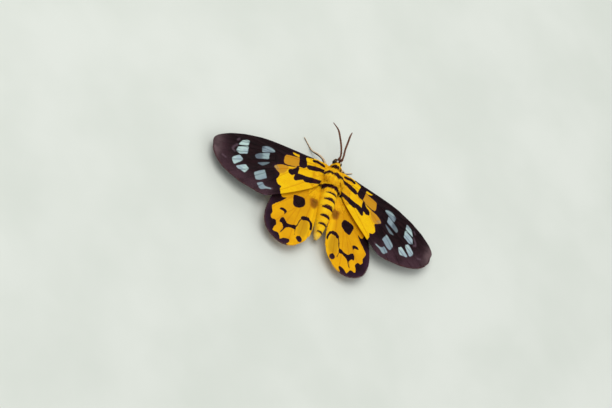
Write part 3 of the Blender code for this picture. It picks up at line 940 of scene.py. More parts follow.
def blades(name, roots, lies, normals, lengths, widths, thickness, lift, curl, chart):
    """Many thin tapers in one mesh: each grows from its root along its lie and bends down."""
    roots, lies, normals = (np.asarray(a, float) for a in (roots, lies, normals))
    count = len(roots)
    lies = unit(lies - normals * np.sum(lies * normals, axis=1)[:, None])
    sides = np.cross(lies, normals)
    lengths, widths, lift = (np.broadcast_to(a, count)[:, None] for a in (lengths, widths, lift))

    def centre(share):
        rise = np.sin(lift) * share - curl * share**2
        return roots + lengths * (lies * np.cos(lift) * share + normals * rise)

    rows, charts = [], []
    for share, swell in BLADE_RINGS:
        for across, up in BLADE_SECTION:
            rows.append(centre(share) + sides * widths * swell * across + normals * thickness * up)
            charts.append(chart + BLADE_PATCH * np.array([across, share - 0.5]))
    rows.append(centre(1.0))
    charts.append(chart + BLADE_PATCH * np.array([0.0, 0.5]))
    places = np.stack(rows, axis=1).reshape(-1, 3)
    charts = np.stack(charts, axis=1).reshape(-1, 2)
    pattern = [(0, 3, 4, 1), (1, 4, 5, 2), (2, 5, 3, 0), (3, 6, 4), (4, 6, 5), (5, 6, 3), (0, 1, 2)]
    faces = [tuple(k + BLADE_POINTS * i for k in face) for i in range(count) for face in pattern]
    mesh = bpy.data.meshes.new(name)
    mesh.from_pydata(to_world(places).tolist(), [], faces)
    uv = mesh.uv_layers.new(name="OFBake")
    corners = np.empty(len(mesh.loops), np.int32)
    mesh.loops.foreach_get("vertex_index", corners)
    uv.data.foreach_set("uv", charts[corners].astype(np.float32).ravel())
    obj = bpy.data.objects.new(name, mesh)
    bpy.context.scene.collection.objects.link(obj)
    face_outwards(obj)
    return obj


def per_blade(values):
    """A value for each blade, repeated for its vertices."""
    return np.repeat(values, BLADE_POINTS)


# %% Fringe along the margin
FRINGE_STEP = 0.06
FRINGE_FADE = 1.6
FRINGE_CHART = 45.0


def wing_fringe(plan, kind, seed):
    draw = np.random.default_rng(seed)
    margin = wing_sides(plan)[1]
    length = np.linalg.norm(np.diff(margin, axis=0), axis=1).sum()
    flat = spaced(margin, int(length / FRINGE_STEP))
    along = unit(np.gradient(flat, axis=0))
    away = np.column_stack([-along[:, 1], along[:, 0]])
    away *= np.sign(np.sum(away * (flat - plan["hinge"][:2]), axis=1))[:, None]
    away += draw.normal(0, 0.12, away.shape)
    start = flat - unit(away) * (FRINGE_LENGTH + 0.12)
    roots = np.column_stack([start, wing_level(plan, start) + draw.normal(0, 0.03, len(start))])
    lies = np.column_stack([away, np.zeros(len(away))])
    ups = np.tile((0.0, 0.0, 1.0), (len(away), 1))
    chart = on_chart(flat[:, 0] / FRINGE_CHART, 0.1 - flat[:, 1] / FRINGE_CHART)
    from_end = np.minimum(np.arange(len(away)), np.arange(len(away))[::-1]) * FRINGE_STEP
    fading = np.clip(from_end / FRINGE_FADE, 0.25, 1.0)
    lengths = draw.uniform(0.45, 0.62, len(away)) * fading
    name = f"{kind}_fringe_right"
    made = blades(name, roots, lies, ups, lengths, 0.12, thickness=0.03, lift=0, curl=0.05, chart=chart)
    write_attribute(made, "shade", per_blade(draw.uniform(0, 1, len(away))))
    return made


# %% [markdown]
# The fringe is dark beside a dark mark and yellow beside a yellow one, and no two of its scales
# have quite the same tone. So it reads the wing's own pattern, and a shade drawn for each blade.


# %% Fringe finish
def fringe_finish():
    finish = Finish("wing fringe")
    shade = finish.attribute("shade")
    dark = finish.attribute("dark").under(0.4, 0.3)
    brown = finish.mix(shade, paint(54, 34, 42), paint(98, 64, 60))
    yellow = finish.mix(shade, paint(226, 172, 44), paint(196, 140, 40))
    return finish.done(base_color=finish.mix(dark, yellow, brown), roughness=0.7)


fringe_material = fringe_finish()

# %% [markdown]
# A wing's membrane is far thinner than paper. A sheet with no thickness at all would be neither
# closed nor solid, so the bent grid gets a little, half on each side. Only the right wings are
# built, and a mirror image of each piece makes the left ones.

# %% Put the wings together
MEMBRANE = 0.14


def dress_wing(kind, finish, seed):
    plan = WINGS[kind]
    membrane = bend_grid(plan, f"{kind}_membrane_right")
    apply_modifier(membrane, "SOLIDIFY", thickness=MEMBRANE * MM, offset=0.0, use_even_offset=False)
    shade_smooth(membrane)
    ribs = wing_veins(plan, f"{kind}_veins_right")
    fringe = wing_fringe(plan, kind, seed)
    node_slot = "dark_scales" if kind == "forewing" else "yellow_scales"
    for piece, material in ((membrane, finish), (ribs, finish), (fringe, fringe_material)):
        write_wing_pattern(piece, plan)
        copy = mirror_copy(piece, piece.name.replace("right", "left"))
        for side, obj in (("right", piece), ("left", copy)):
            settle(obj, material, node_slot, f"{kind}_{side}")


dress_wing("forewing", forewing_finish, 11)
dress_wing("hindwing", hindwing_finish, 12)

# %% [markdown]
# ## Body: one skin
#
# Head, collar, thorax, shoulder flaps, palps and abdomen are separate nodes in the frame, but on
# the animal one skin runs over them all. So each is started from a sphere or a tube, they are
# joined, and a voxel remesh fuses them into one closed surface, which is then smoothed. The rings
# of the abdomen are pressed in afterwards, because the remesh would blur them. The skin lies
# inside the frame's solids by the depth of the coat. Only between the roots of the wings does it
# swell out further, where the muscles that move the wings sit. An egg has a centre and half its
# length each way, and a paired one also has the angles by which it is nodded, rolled and turned.

# %% Eggs for the body
EGGS = {
    "thorax": ((0.0, -1.5, 5.7), (3.05, 3.95, 2.4)),
    "collar": ((0.0, 2.3, 6.5), (1.95, 0.95, 1.55)),
    "head": ((0.0, 3.95, 7.2), (1.22, 1.05, 1.15)),
}
PAIRED_EGGS = {
    "tegula": ((2.45, -1.0, 7.2), (0.95, 2.65, 0.36), (-13.0, 38.0, 6.5)),
    "wing_muscle": ((2.2, -2.4, 5.65), (1.6, 3.3, 0.95), (0.0, 0.0, 0.0)),
}
TEGULA_SWELL = 0.3
ABDOMEN_FRONT = (0.0, -4.6, 5.2)
ABDOMEN_LENGTH = 18.5
ABDOMEN_RINGS = 7
ABDOMEN_RADIUS = 2.72
ABDOMEN_DROP = 2.3
RING_DEPTH = 0.16
SKIN_VOXEL = 0.15


def egg(name, centre, half, turned=(0.0, 0.0, 0.0), swell=0.0):
    """A sphere shaped to an egg, broader in front by the swell, then rolled, nodded and turned."""
    bpy.ops.object.select_all(action="DESELECT")
    bpy.ops.mesh.primitive_uv_sphere_add(segments=48, ring_count=32)
    made = bpy.context.active_object
    made.name = name
    for vert in made.data.vertices:
        vert.co.x *= 1 + swell * vert.co.y
    made.location = to_world(centre)[0]
    made.scale = Vector(half) * MM
    made.rotation_mode = "YXZ"
    made.rotation_euler = [math.radians(angle) for angle in turned]
    bpy.ops.object.transform_apply(location=True, rotation=True, scale=True)
    return made


def paired_eggs():
    for name, (centre, half, (nod, roll, turn_in)) in PAIRED_EGGS.items():
        swell = TEGULA_SWELL if name == "tegula" else 0.0
        for side in SIDES.values():
            place = (centre[0] * side, *centre[1:])
            yield egg(name, place, half, (nod, roll * side, turn_in * side), swell)


# %% Abdomen and palps
def abdomen_centre(share):
    """Height of the abdomen's axis at a share of its length, front to tip."""
    return ABDOMEN_FRONT[2] - ABDOMEN_DROP * np.clip(share, 0, 1) ** 1.8


def bend_abdomen():
    """A sphere drawn out along the abdomen's axis, widest near its front, with a round tip."""
    bpy.ops.object.select_all(action="DESELECT")
    bpy.ops.mesh.primitive_uv_sphere_add(segments=48, ring_count=90)
    made = bpy.context.active_object
    ball = vertex_rows(made, "co")
    share = (1 - ball[:, 2]) / 2
    girth = np.clip(np.sin(math.pi * (0.36 + 0.58 * share)), 0, 1) ** 0.8
    rounding = np.sqrt(np.clip(1 - (np.clip(share - 0.93, 0, 0.07) / 0.07) ** 2, 0, 1))
    radius = ABDOMEN_RADIUS * girth * rounding * np.clip(share / 0.02, 0, 1)
    around = unit(ball[:, :2])
    set_places(
        made,
        np.column_stack(
            [
                around[:, 0] * radius,
                ABDOMEN_FRONT[1] - share * ABDOMEN_LENGTH,
                abdomen_centre(share) + around[:, 1] * radius,
            ]
        ),
    )
    return made


PALP_PATH = [(0.52, 4.4, 6.5), (0.64, 5.0, 5.95), (0.6, 5.4, 5.95), (0.55, 5.6, 6.2)]
PALP_RADII = [0.28, 0.31, 0.2, 0.05]


def palps():
    for side in SIDES.values():
        path = smooth([(x * side, y, z) for x, y, z in PALP_PATH], 4)
        yield tube("palp", path, np.interp(np.linspace(0, 3, len(path)), range(4), PALP_RADII))


# %% Fuse them into one skin
pieces = [egg(name, *shape) for name, shape in EGGS.items()]
skin = joined([*pieces, *paired_eggs(), bend_abdomen(), *palps()], "body_skin")
apply_modifier(skin, "REMESH", mode="VOXEL", voxel_size=SKIN_VOXEL * MM)
apply_modifier(skin, "SMOOTH", factor=0.5, iterations=5)


def ring_share(points):
    """How far a point lies along its ring of the abdomen, 0 to 1."""
    along = (ABDOMEN_FRONT[1] - points[:, 1]) / ABDOMEN_LENGTH * ABDOMEN_RINGS
    return along - np.floor(along)


def press_rings(obj):
    """Presses in a groove after each ring, steep at its end and gentle where the next begins."""
    points = to_moth(obj.data)
    share = ring_share(points)
    groove = np.exp(-((share / 0.1) ** 2)) + np.exp(-(((1 - share) / 0.04) ** 2))
    behind = np.clip((ABDOMEN_FRONT[1] - 0.9 - points[:, 1]) / 0.8, 0, 1)
    depth = RING_DEPTH * groove * behind
    set_places(obj, points - vertex_rows(obj, "normal") * depth[:, None])


press_rings(skin)
shade_smooth(skin)
print(f"skin: {len(skin.data.vertices)} points")

# %% [markdown]
# ## Body: bands and the coat
#
# The dark bands of the wings run on over the body: a stripe over the collar, a band across the
# back, one at the rear of the thorax, and arches over the rings of the abdomen. They are worked out
# from a point's place alone, so the skin and every scale of the coat carry the same ones. The
# stripes on the back aren't quite alike on both sides, so some of them aren't mirrored, and the
# arches sit a little to the right of the middle line.

# %% Bands of the body
BACK_STROKES = [
    (1.2, [(1.6, -0.75), (2.4, -0.65), (3.8, -0.95)]),
    (1.45, [(0.0, -5.2), (1.5, -5.3), (2.6, -5.3), (3.6, -5.0)]),
    (1.5, [(0.0, 4.1), (0.35, 4.1)]),
    (0.6, [(0.7, 3.6), (1.0, 3.5)]),
]
UNMIRRORED_STROKES = [
    (0.75, [(-1.9, 1.8), (-1.0, 2.05), (0.05, 2.0)]),
    (0.4, [(1.1, 2.1), (2.0, 1.95), (2.6, 1.6)]),
    (0.5, [(-1.7, -0.75), (-0.3, -0.85)]),
    (1.35, [(-0.2, -0.8), (0.6, -0.75), (1.7, -0.85)]),
    (1.8, [(0.3, -0.8), (1.0, -0.9)]),
    (1.0, [(2.4, -0.55), (3.7, -1.25)]),
    (1.8, [(-0.4, -5.3), (1.0, -5.35)]),
]
ABDOMEN_BANDS = [
    (-8.0, 0.85), (-10.2, 1.15), (-12.9, 1.5), (-15.8, 1.1), (-18.4, 0.8), (-20.8, 0.6),
]
BAND_REACH = math.radians(56)
BAND_TURN = math.radians(6)
PALE_SPECKS = [(0.42, [(0.55, 3.6), (0.62, 3.75)])]
PALP_TIP_Y = 5.15
BACK_FROM_Z = 6.4
NO_MARK = 3.0


def body_marks(points):
    """Distance to the body's dark bands and to its pale specks, negative inside them."""
    flat = np.column_stack([np.abs(points[:, 0]), points[:, 1]])
    dark = distance_to_marks(flat, strokes=BACK_STROKES)
    dark = np.minimum(dark, distance_to_marks(points[:, :2], strokes=UNMIRRORED_STROKES))
    share = (ABDOMEN_FRONT[1] - points[:, 1]) / ABDOMEN_LENGTH
    angle = np.abs(np.arctan2(points[:, 0], points[:, 2] - abdomen_centre(share)) - BAND_TURN)
    for place, width in ABDOMEN_BANDS:
        narrowing = np.sqrt(np.clip(1 - (angle / BAND_REACH) ** 2, 0, 1))
        far = np.clip(angle - BAND_REACH, 0, None) * ABDOMEN_RADIUS
        dark = np.minimum(dark, np.abs(points[:, 1] - place) - width / 2 * narrowing + far)
    on_back = points[:, 2] > np.where(share > 0, abdomen_centre(share), BACK_FROM_Z)
    dark = np.where(on_back, dark, NO_MARK)
    dark = np.minimum(dark, PALP_TIP_Y - points[:, 1])
    pale = distance_to_marks(flat, strokes=PALE_SPECKS)
    return dark, np.where(on_back, pale, NO_MARK)


def write_body_pattern(obj, points, repeat=False):
    dark, pale = body_marks(points)
    for name, values in (("dark", dark), ("pale", pale), ("height", points[:, 2])):
        write_attribute(obj, name, per_blade(values) if repeat else values)


# %% [markdown]
# Skin and coat share one finish, so that bare skin between two scales has the same colour as they
# have. The yellow is paler below. On the coat every blade also has a shade of its own, which
# darkens some of them and moves the edge of the bands a little from blade to blade.


# %% Body finish
def body_finish(name, is_coat):
    finish = Finish(name)
    ragged = (finish.noise(0.3, 3.0) - 0.5) * 0.3
    patchy = finish.noise(1.6, 3.0)
    yellow = finish.mix(patchy.between(0.35, 0.65), paint(250, 200, 14), paint(240, 180, 10))
    below = finish.attribute("height").between(4.6, 3.2)
    yellow = finish.mix(below * 0.7, yellow, paint(238, 204, 108))
    if is_coat:
        shade = finish.attribute("shade")
        yellow = finish.mix(shade.between(0.5, 1.0) * 0.45, yellow, paint(216, 142, 8))
        ragged = ragged + (shade - 0.5) * 0.16
    black = finish.mix(patchy.between(0.4, 0.6), paint(56, 10, 22), paint(34, 7, 13))
    dark = (finish.attribute("dark") + ragged).under(0.0, 0.08)
    pale = (finish.attribute("pale") + ragged).under(0.0, 0.1)
    colour = finish.mix(pale, finish.mix(dark, yellow, black), paint(214, 206, 190))
    fine = finish.cells(0.2, finish.stretched((1.0, 0.5, 1.0)))
    return finish.done(
        base_color=colour, roughness=0.66 - dark * 0.12, normal=finish.bump(fine, 0.03)
    )


skin_material = body_finish("body skin", False)
coat_material = body_finish("body coat", True)
write_body_pattern(skin, to_moth(skin.data))
SINGLE_NODES = ["head", "collar", "thorax", "abdomen"]
PAIRED_NODES = [f"{part}_{side}" for part in ("tegula", "palp") for side in SIDES]
settle(skin, skin_material, "yellow_pile", *SINGLE_NODES, *PAIRED_NODES)

# %% [markdown]
# The coat is thousands of narrow scales, and each is a blade. Hair curves could stand for them, but
# a library part needs solid meshes, so each is a blade. Their roots are drawn at random over the
# skin, more where its faces are larger, and each lies backwards over the ones behind it. They are
# longest on the flanks, a little raised on the back of the thorax, short and flat on the abdomen,
# and shortest on the head. Every blade also gets a small patch of its own on a chart of the body,
# unrolled round its long axis.

# %% Where the scales grow
EYE_CENTRE = np.array((1.03, 3.82, 6.85))
EYE_HALF = np.array((0.6, 0.7, 0.78))
EYE_CLEARANCE = 0.04
BODY_AXIS_Z = 5.3
BODY_REAR_Y = -24.0
BODY_SPAN = 31.0


def scatter(obj, count, draw):
    """Random places on the surface, with the way out at each."""
    mesh = obj.data
    mesh.calc_loop_triangles()
    corners = np.empty(len(mesh.loop_triangles) * 3, np.int32)
    mesh.loop_triangles.foreach_get("vertices", corners)
    points = to_moth(mesh)[corners.reshape(-1, 3)]
    cross = np.cross(points[:, 1] - points[:, 0], points[:, 2] - points[:, 0])
    area = np.linalg.norm(cross, axis=1)
    chosen = draw.choice(len(area), count, p=area / area.sum())
    a, b = np.sqrt(draw.random(count))[:, None], draw.random(count)[:, None]
    corner = points[chosen]
    places = (1 - a) * corner[:, 0] + a * (1 - b) * corner[:, 1] + a * b * corner[:, 2]
    return places, unit(cross[chosen])


def clear_of_eyes(points):
    offset = np.column_stack([np.abs(points[:, 0]), points[:, 1:]]) - EYE_CENTRE
    return np.sum((offset / (EYE_HALF + EYE_CLEARANCE)) ** 2, axis=1) > 1.0


def body_chart(points):
    """A place on the chart of the body: round its middle line, then along it from the rear."""
    round_it = np.arctan2(points[:, 0], points[:, 2] - BODY_AXIS_Z) / (2 * math.pi) + 0.5
    return on_chart(round_it, (points[:, 1] - BODY_REAR_Y) / BODY_SPAN)


# %% How the scales lie
FACE_FROM_Y = 4.2
PALP_FROM_Y = 4.8
PALP_UNDER_Z = 6.6
ROOT_DEPTH = 0.05
COLOUR_AHEAD = 0.15


def coat_lies(roots, ups, outwards):
    """The way the scales lie: back over the body, down the face and forwards along the palps."""
    lies = np.tile((0.0, -1.0, -0.12), (len(roots), 1))
    lies[:, 0] += np.sign(roots[:, 0]) * outwards
    face = (roots[:, 1] > FACE_FROM_Y) & (ups[:, 1] > 0.25)
    lies[face] = (0.0, -0.3, -1.0)
    palp = (roots[:, 1] > PALP_FROM_Y) & (roots[:, 2] < PALP_UNDER_Z) & (np.abs(roots[:, 0]) > 0.2)
    along_palp = np.clip((roots[:, 1] - PALP_FROM_Y) / 1.2, 0, 1)
    way = np.column_stack([np.zeros(len(roots)), 1 - 0.5 * along_palp, 0.1 + 0.6 * along_palp])
    return np.where(palp[:, None], way, lies)


def grow_coat(name, count, seed, wanted, length, width, lift, outwards=0.12):
    draw = np.random.default_rng(seed)
    roots, ups = scatter(skin, count, draw)
    keep = wanted(roots) & clear_of_eyes(roots)
    roots, ups = roots[keep], ups[keep]
    size = len(roots)
    lies = coat_lies(roots, ups, outwards) + draw.normal(0, 0.12, (size, 3))
    coat = blades(
        name,
        roots - ups * ROOT_DEPTH,
        lies,
        ups,
        lengths=draw.uniform(*length, size),
        widths=draw.uniform(*width, size),
        thickness=0.035,
        lift=np.radians(draw.uniform(*lift, size)),
        curl=0.12,
        chart=body_chart(roots),
    )
    write_body_pattern(coat, roots + lies * COLOUR_AHEAD, repeat=True)
    write_attribute(coat, "shade", per_blade(draw.random(size)))
    settle(coat, coat_material, "yellow_pile")


# %% [markdown]
# One coat for the whole body would be simplest, but a mesh of this library stays under 200,000
# triangles. The body has four coats, each with its own length, width and lift of scale. They
# overlap where one part of the body meets the next, and no line shows there.

# %% Grow the coats
ABDOMEN_COAT_TO = -5.6
THORAX_COAT = (-6.3, 2.6)
HEAD_COAT_FROM = 2.3
FLANK_COAT = (-6.4, 0.4)
FLANK_X = 1.9
FLANK_Z = 4.4


def on_abdomen(points):
    return points[:, 1] < ABDOMEN_COAT_TO


def on_thorax(points):
    return (points[:, 1] >= THORAX_COAT[0]) & (points[:, 1] < THORAX_COAT[1])


def on_flanks(points):
    along = (points[:, 1] > FLANK_COAT[0]) & (points[:, 1] < FLANK_COAT[1])
    return along & (np.abs(points[:, 0]) > FLANK_X) & (points[:, 2] > FLANK_Z)


def on_head(points):
    return points[:, 1] >= HEAD_COAT_FROM


grow_coat("coat_abdomen", 26000, 21, on_abdomen, (0.4, 0.7), (0.12, 0.22), (2, 8))
grow_coat("coat_thorax", 30000, 22, on_thorax, (0.6, 1.15), (0.09, 0.17), (3, 13), 0.3)
grow_coat("coat_flanks", 20000, 26, on_flanks, (1.2, 2.1), (0.09, 0.16), (2, 10), 0.75)
grow_coat("coat_head", 90000, 23, on_head, (0.2, 0.36), (0.05, 0.09), (4, 16))

# %% [markdown]
# Hair-like scales also spill over the roots of the wings, so that no line shows where a wing
# leaves the thorax, and a hem of long ones runs down the hindwing's inner margin and closes it
# against the abdomen. They take the wing's own pattern under them.

# %% Hair-like scales on a wing
def dress_wing_hair(name, plan, flat, lies, lengths, draw, finish, face=1):
    """Hair-like scales on the wing's upper face, or on its under face with face = -1."""
    size = len(flat)
    level = wing_level(plan, flat) + face * MEMBRANE / 2
    ups = np.tile((0.0, 0.0, float(face)), (size, 1))
    lies = lies + draw.normal(0, 0.1, lies.shape)
    made = blades(
        f"{name}_right",
        np.column_stack([flat, level]),
        lies,
        ups,
        lengths,
        widths=draw.uniform(0.08, 0.15, size),
        thickness=0.03,
        lift=np.radians(draw.uniform(1, 7, size)),
        curl=0.06,
        chart=on_chart(flat[:, 0] / 8, (flat[:, 1] + 29) / 32),
    )
    write_wing_pattern(made, plan)
    for layer in ("pale", "height"):
        write_attribute(made, layer, np.full(len(made.data.vertices), 2 * NO_MARK))
    write_attribute(made, "shade", per_blade(draw.random(size)))
    copy = mirror_copy(made, f"{name}_left")
    for obj in (made, copy):
        settle(obj, finish, "yellow_pile")


# %% Scales over the wing roots
ROOT_REACH = 6.6
ROOT_START = 2.2
ROOT_SPANS = {"forewing": (-7.4, 1.8), "hindwing": (-10.0, -3.6)}
ROOT_INSIDE = -0.15


def grow_wing_roots(kind, count, seed):
    draw = np.random.default_rng(seed)
    plan = WINGS[kind]
    across = draw.uniform(ROOT_START, ROOT_REACH, count)
    flat = np.column_stack([across, draw.uniform(*ROOT_SPANS[kind], count)])
    inside = distance_to_patch(flat, plan["outline"]) < ROOT_INSIDE
    thinning = draw.random(count) > ((across - ROOT_START) / (ROOT_REACH - ROOT_START)) ** 1.5
    flat = flat[inside & thinning]
    slant = flat[:, 1] / 9 - 0.25 if kind == "forewing" else np.full(len(flat), -1.1)
    lies = np.column_stack([np.ones(len(flat)), slant, np.zeros(len(flat))])
    lengths = draw.uniform(0.8, 1.6, len(flat))
    dress_wing_hair(f"{kind}_root_scales", plan, flat, lies, lengths, draw, coat_material)


grow_wing_roots("forewing", 7000, 24)
grow_wing_roots("hindwing", 3600, 25)

# %% Hem beside the abdomen
HEM_WIDTH = 0.45
HEM_START = -6.4
HEM_END = -24.2
HEM_FADE = 6.0
HEM_COUNT = 1500


def grow_hem(name, seed, face):
    draw = np.random.default_rng(seed)
    inner = wing_sides(HINDWING)[2]
    line = spaced(inner[(inner[:, 1] < HEM_START) & (inner[:, 1] > HEM_END)], HEM_COUNT)
    along, still = np.ones(HEM_COUNT), np.zeros(HEM_COUNT)
    flat = line + np.column_stack([draw.uniform(-0.1, HEM_WIDTH, HEM_COUNT), still])
    lies = np.column_stack([-0.25 - 0.2 * draw.random(HEM_COUNT), -along, still])
    fading = 1 - 0.5 * np.clip(1 - (line[:, 1] - HEM_END) / HEM_FADE, 0, 1)
    lengths = draw.uniform(0.7, 1.3, HEM_COUNT) * fading
    dress_wing_hair(name, HINDWING, flat, lies, lengths, draw, hindwing_finish, face)


grow_hem("hindwing_hem_upper", 27, 1)
grow_hem("hindwing_hem_under", 28, -1)

# %% [markdown]
# ## Eyes
#
# A moth's eye is a dome of thousands of six-sided lenses. A pattern of dots would look flat at the
# rim of the dome. But nearly every point of an icosphere has six neighbours, so it is a ready-made
# plan of such an eye: one more cut between the points leaves every old point as the top of a lens,
# which is raised a little over the new ones around it. The finish is dark and half glossy, and the
# tops of the lenses are a little paler and more purple than the seams between them.

# %% Eyes
LENS_RISE = 0.022


def make_eye(name):
    bpy.ops.object.select_all(action="DESELECT")
    bpy.ops.mesh.primitive_ico_sphere_add(subdivisions=5, radius=1.0)
    dome = bpy.context.active_object
    dome.name = dome.data.name = name
    tops = len(dome.data.vertices)
    bpy.ops.object.mode_set(mode="EDIT")
    bpy.ops.mesh.select_all(action="SELECT")
    bpy.ops.mesh.subdivide(number_cuts=1)
    bpy.ops.object.mode_set(mode="OBJECT")
    is_top = np.arange(len(dome.data.vertices)) < tops
    ball = unit(vertex_rows(dome, "co"))
    ball *= 1 + LENS_RISE * np.where(is_top, 0.5, -0.5)[:, None]
    set_places(dome, EYE_CENTRE + ball * EYE_HALF)
    write_attribute(dome, "lens", is_top)
    shade_smooth(dome)
    return dome


def eye_finish():
    finish = Finish("compound eye", 0.25)
    glow = finish.noise(0.7, 2.0).between(0.3, 0.7)
    colour = finish.mix(glow, paint(30, 8, 26), paint(46, 20, 30))
    colour = finish.mix(finish.attribute("lens"), paint(8, 3, 7), colour)
    return finish.done(base_color=colour, roughness=0.3, coat_weight=0.06)


eye_material = eye_finish()
eye_right = make_eye("eye_dome_right")
eye_left = mirror_copy(eye_right, "eye_dome_left")
settle(eye_right, eye_material, "eye", "eye_right")
settle(eye_left, eye_material, "eye", "eye_left")

# %% [markdown]
# ## Feelers and tongue
#
# Each feeler is a chain of short joints with a fringe of fine bristles below. A bead for each joint
# would leave gaps, so the joints are swellings along one tube, and the chain stays closed. The
# tongue is coiled like a watch spring under the head, and has fine rings. All of these are horn, and
# so are the legs under their scales. One finish serves them all, with mottled colours passed in,
# and for the legs a dark stripe along the side that faces down and back.

# %% Horn finishes
def horn_finish(name, first, second, stripe=None):
    finish = Finish(name)
    mottle = finish.noise(0.5, 3.0)
    colour = finish.mix(mottle.between(0.35, 0.65), first, second)
    # The stripe lies where the attribute "upper" is high, which is on the side that faces down and back.
    if stripe:
        edge = finish.attribute("upper") + (mottle - 0.5) * 0.8
        colour = finish.mix(edge.between(-0.1, 0.15), colour, stripe)
    rings = finish.noise(0.08, 1.0)
    return finish.done(base_color=colour, roughness=0.5, normal=finish.bump(rings, 0.015))


feeler_material = horn_finish("feeler horn", paint(122, 76, 50), paint(84, 52, 40))
tongue_material = horn_finish("tongue horn", paint(96, 62, 34), paint(70, 42, 26))
leg_material = horn_finish("leg scales", paint(222, 200, 168), paint(196, 170, 138), paint(58, 42, 40))

# %% Feelers
FEELER_PATH = [
    (0.5, 4.1, 8.0), (0.5, 5.3, 9.15), (0.75, 8.4, 8.95), (1.5, 12.0, 8.4), (2.3, 15.2, 7.6),
    (3.6, 18.0, 6.0),
]
FEELER_JOINTS = 60
RINGS_PER_JOINT = 6
FEELER_RADIUS = 0.3
FEELER_SHARES = (0.0, 0.015, 0.035, 0.06, 0.075, 0.7, 1.0)
FEELER_SWELLS = (0.9, 1.2, 1.5, 1.4, 0.95, 0.9, 0.4)
BRISTLES_PER_JOINT = 16


def path_frame(path):
    """The way along a path, and a sideways direction at each of its points."""
    along = unit(np.gradient(path, axis=0))
    side = unit(np.cross(along, (0.0, 0.0, 1.0)))
    return along, side


def make_feeler(side_name, side):
    points = [(x * side, y, z) for x, y, z in FEELER_PATH]
    path = spaced(smooth(points, 12), FEELER_JOINTS * RINGS_PER_JOINT + 1)
    share = np.linspace(0, 1, len(path))
    swell = np.interp(share, FEELER_SHARES, FEELER_SWELLS)
    ringed = np.where(share > FEELER_SHARES[4], 0.1, 0.0)
    beads = 1 + ringed * np.sin(2 * math.pi * FEELER_JOINTS * share - math.pi / 2)
    stem = tube(f"feeler_{side_name}", path, FEELER_RADIUS * beads * swell, sides=4)
    draw = np.random.default_rng(31)
    along, sideways = path_frame(path)
    first = int(FEELER_SHARES[4] * len(path))
    chosen = np.repeat(np.arange(first, len(path) - 3, RINGS_PER_JOINT), BRISTLES_PER_JOINT)
    turn = draw.uniform(-0.6, math.pi + 0.6, len(chosen))[:, None]
    down = np.cross(sideways, along)[chosen] * -1
    ups = sideways[chosen] * np.cos(turn) + down * np.sin(turn)
    roots = path[chosen] + ups * (FEELER_RADIUS * 0.75 * swell[chosen])[:, None]
    bristles = blades(
        f"feeler_bristles_{side_name}",
        roots,
        ups + along[chosen] * 0.8,
        along[chosen],
        lengths=draw.uniform(0.14, 0.24, len(chosen)) * swell[chosen],
        widths=0.03,
        thickness=0.02,
        lift=0.0,
        curl=0.0,
        chart=np.column_stack([share[chosen] * 0.9 + 0.05, turn[:, 0] / 8 + 0.3]),
    )
    feeler = joined([bristles, stem], f"feeler_{side_name}")
    settle(feeler, feeler_material, "chitin", f"antenna_{side_name}")


for side_name, side in SIDES.items():
    make_feeler(side_name, side)

# %% Tongue
TONGUE_CENTRE = (0.0, 5.0, 5.0)
TONGUE_TURNS = 1.9
TONGUE_PITCH = 0.62
TONGUE_START = 0.2

turns = np.linspace(0, TONGUE_TURNS, 150)
spin = 2 * math.pi * (turns - TONGUE_TURNS) + math.radians(120)
coil = (TONGUE_START + TONGUE_PITCH * turns)[:, None] * np.column_stack([np.cos(spin), np.sin(spin)])
tongue_path = np.column_stack([np.zeros(len(turns)), coil]) + TONGUE_CENTRE
tongue_radii = np.linspace(0.1, 0.2, len(turns)) * (1 + 0.08 * np.sin(turns * 160))
settle(tube("tongue_coil", tongue_path, tongue_radii), tongue_material, "chitin", "tongue")

# %% [markdown]
# ## Legs
#
# The frame parts each leg at the knee and the ankle. The moth stands still, so one tube follows the
# same bent line instead, and no crack shows at a joint. The thigh is thickest, there is a waist at
# each joint, the foot has five small joints, and spurs, two claws and a dusting of scales are
# added. The sole is pressed flat on the floor. Places along a leg are counted in stations: 0 at the
# body, 1 at the knee, 2 at the ankle and 4 at the claws.

# %% Leg lines
LEG_PATHS = {
    "front": [(0.9, 1.3, 4.1), (3.7, 4.4, 3.7), (6.2, 6.3, 1.0), (7.1, 6.9, 0.2), (9.5, 8.3, 0.2)],
    "middle": [(1.2, -1.4, 3.7), (5.3, -0.6, 3.5), (9.4, 0.2, 1.0), (10.3, 0.4, 0.2), (13.2, 0.9, 0.2)],
    "hind": [(1.2, -3.8, 3.9), (4.9, -7.4, 3.2), (8.2, -12.2, 1.0), (8.7, -13.0, 0.2), (10.4, -16.0, 0.2)],
}
LEFT_STAGGER = {"front": 3.7, "middle": 0.8, "hind": 0.9}
LEG_STEPS = 16
LEG_STATIONS = [0.0, 0.5, 1.0, 1.5, 2.0, 3.0, 4.0]
LEG_GIRTH = [0.45, 0.49, 0.42, 0.38, 0.27, 0.23, 0.14]
FOOT_JOINTS = 5
SPUR_PLACES = {"front": [], "middle": [1.95], "hind": [1.55, 1.95]}
SPUR_LENGTH = 1.15
CLAW_LENGTH = 0.42
SCALES_PER_LEG = 900


def leg_line(pair, side):
    stagger = LEFT_STAGGER[pair] if side < 0 else 0.0
    last = len(LEG_PATHS[pair]) - 1
    joints = [(x * side, y + stagger * i / last, z) for i, (x, y, z) in enumerate(LEG_PATHS[pair])]
    return smooth(joints, LEG_STEPS)


def leg_girth(station):
    girth = np.interp(station, LEG_STATIONS, LEG_GIRTH)
    foot = np.clip(station - 2.0, 0, None) * FOOT_JOINTS / 2
    pinch = np.exp(-(((foot - np.round(foot)) / 0.12) ** 2)) * (station > 2.1)
    knee = np.exp(-(((station - 1.0) / 0.05) ** 2)) + np.exp(-(((station - 2.0) / 0.05) ** 2))
    return girth * (1 - 0.22 * pinch - 0.2 * knee)


# %% Build the legs
# A leg's dark stripe covers the faces whose way out points along this direction, down and back.
STRIPE_FACES = (0.0, -0.8, -0.6)


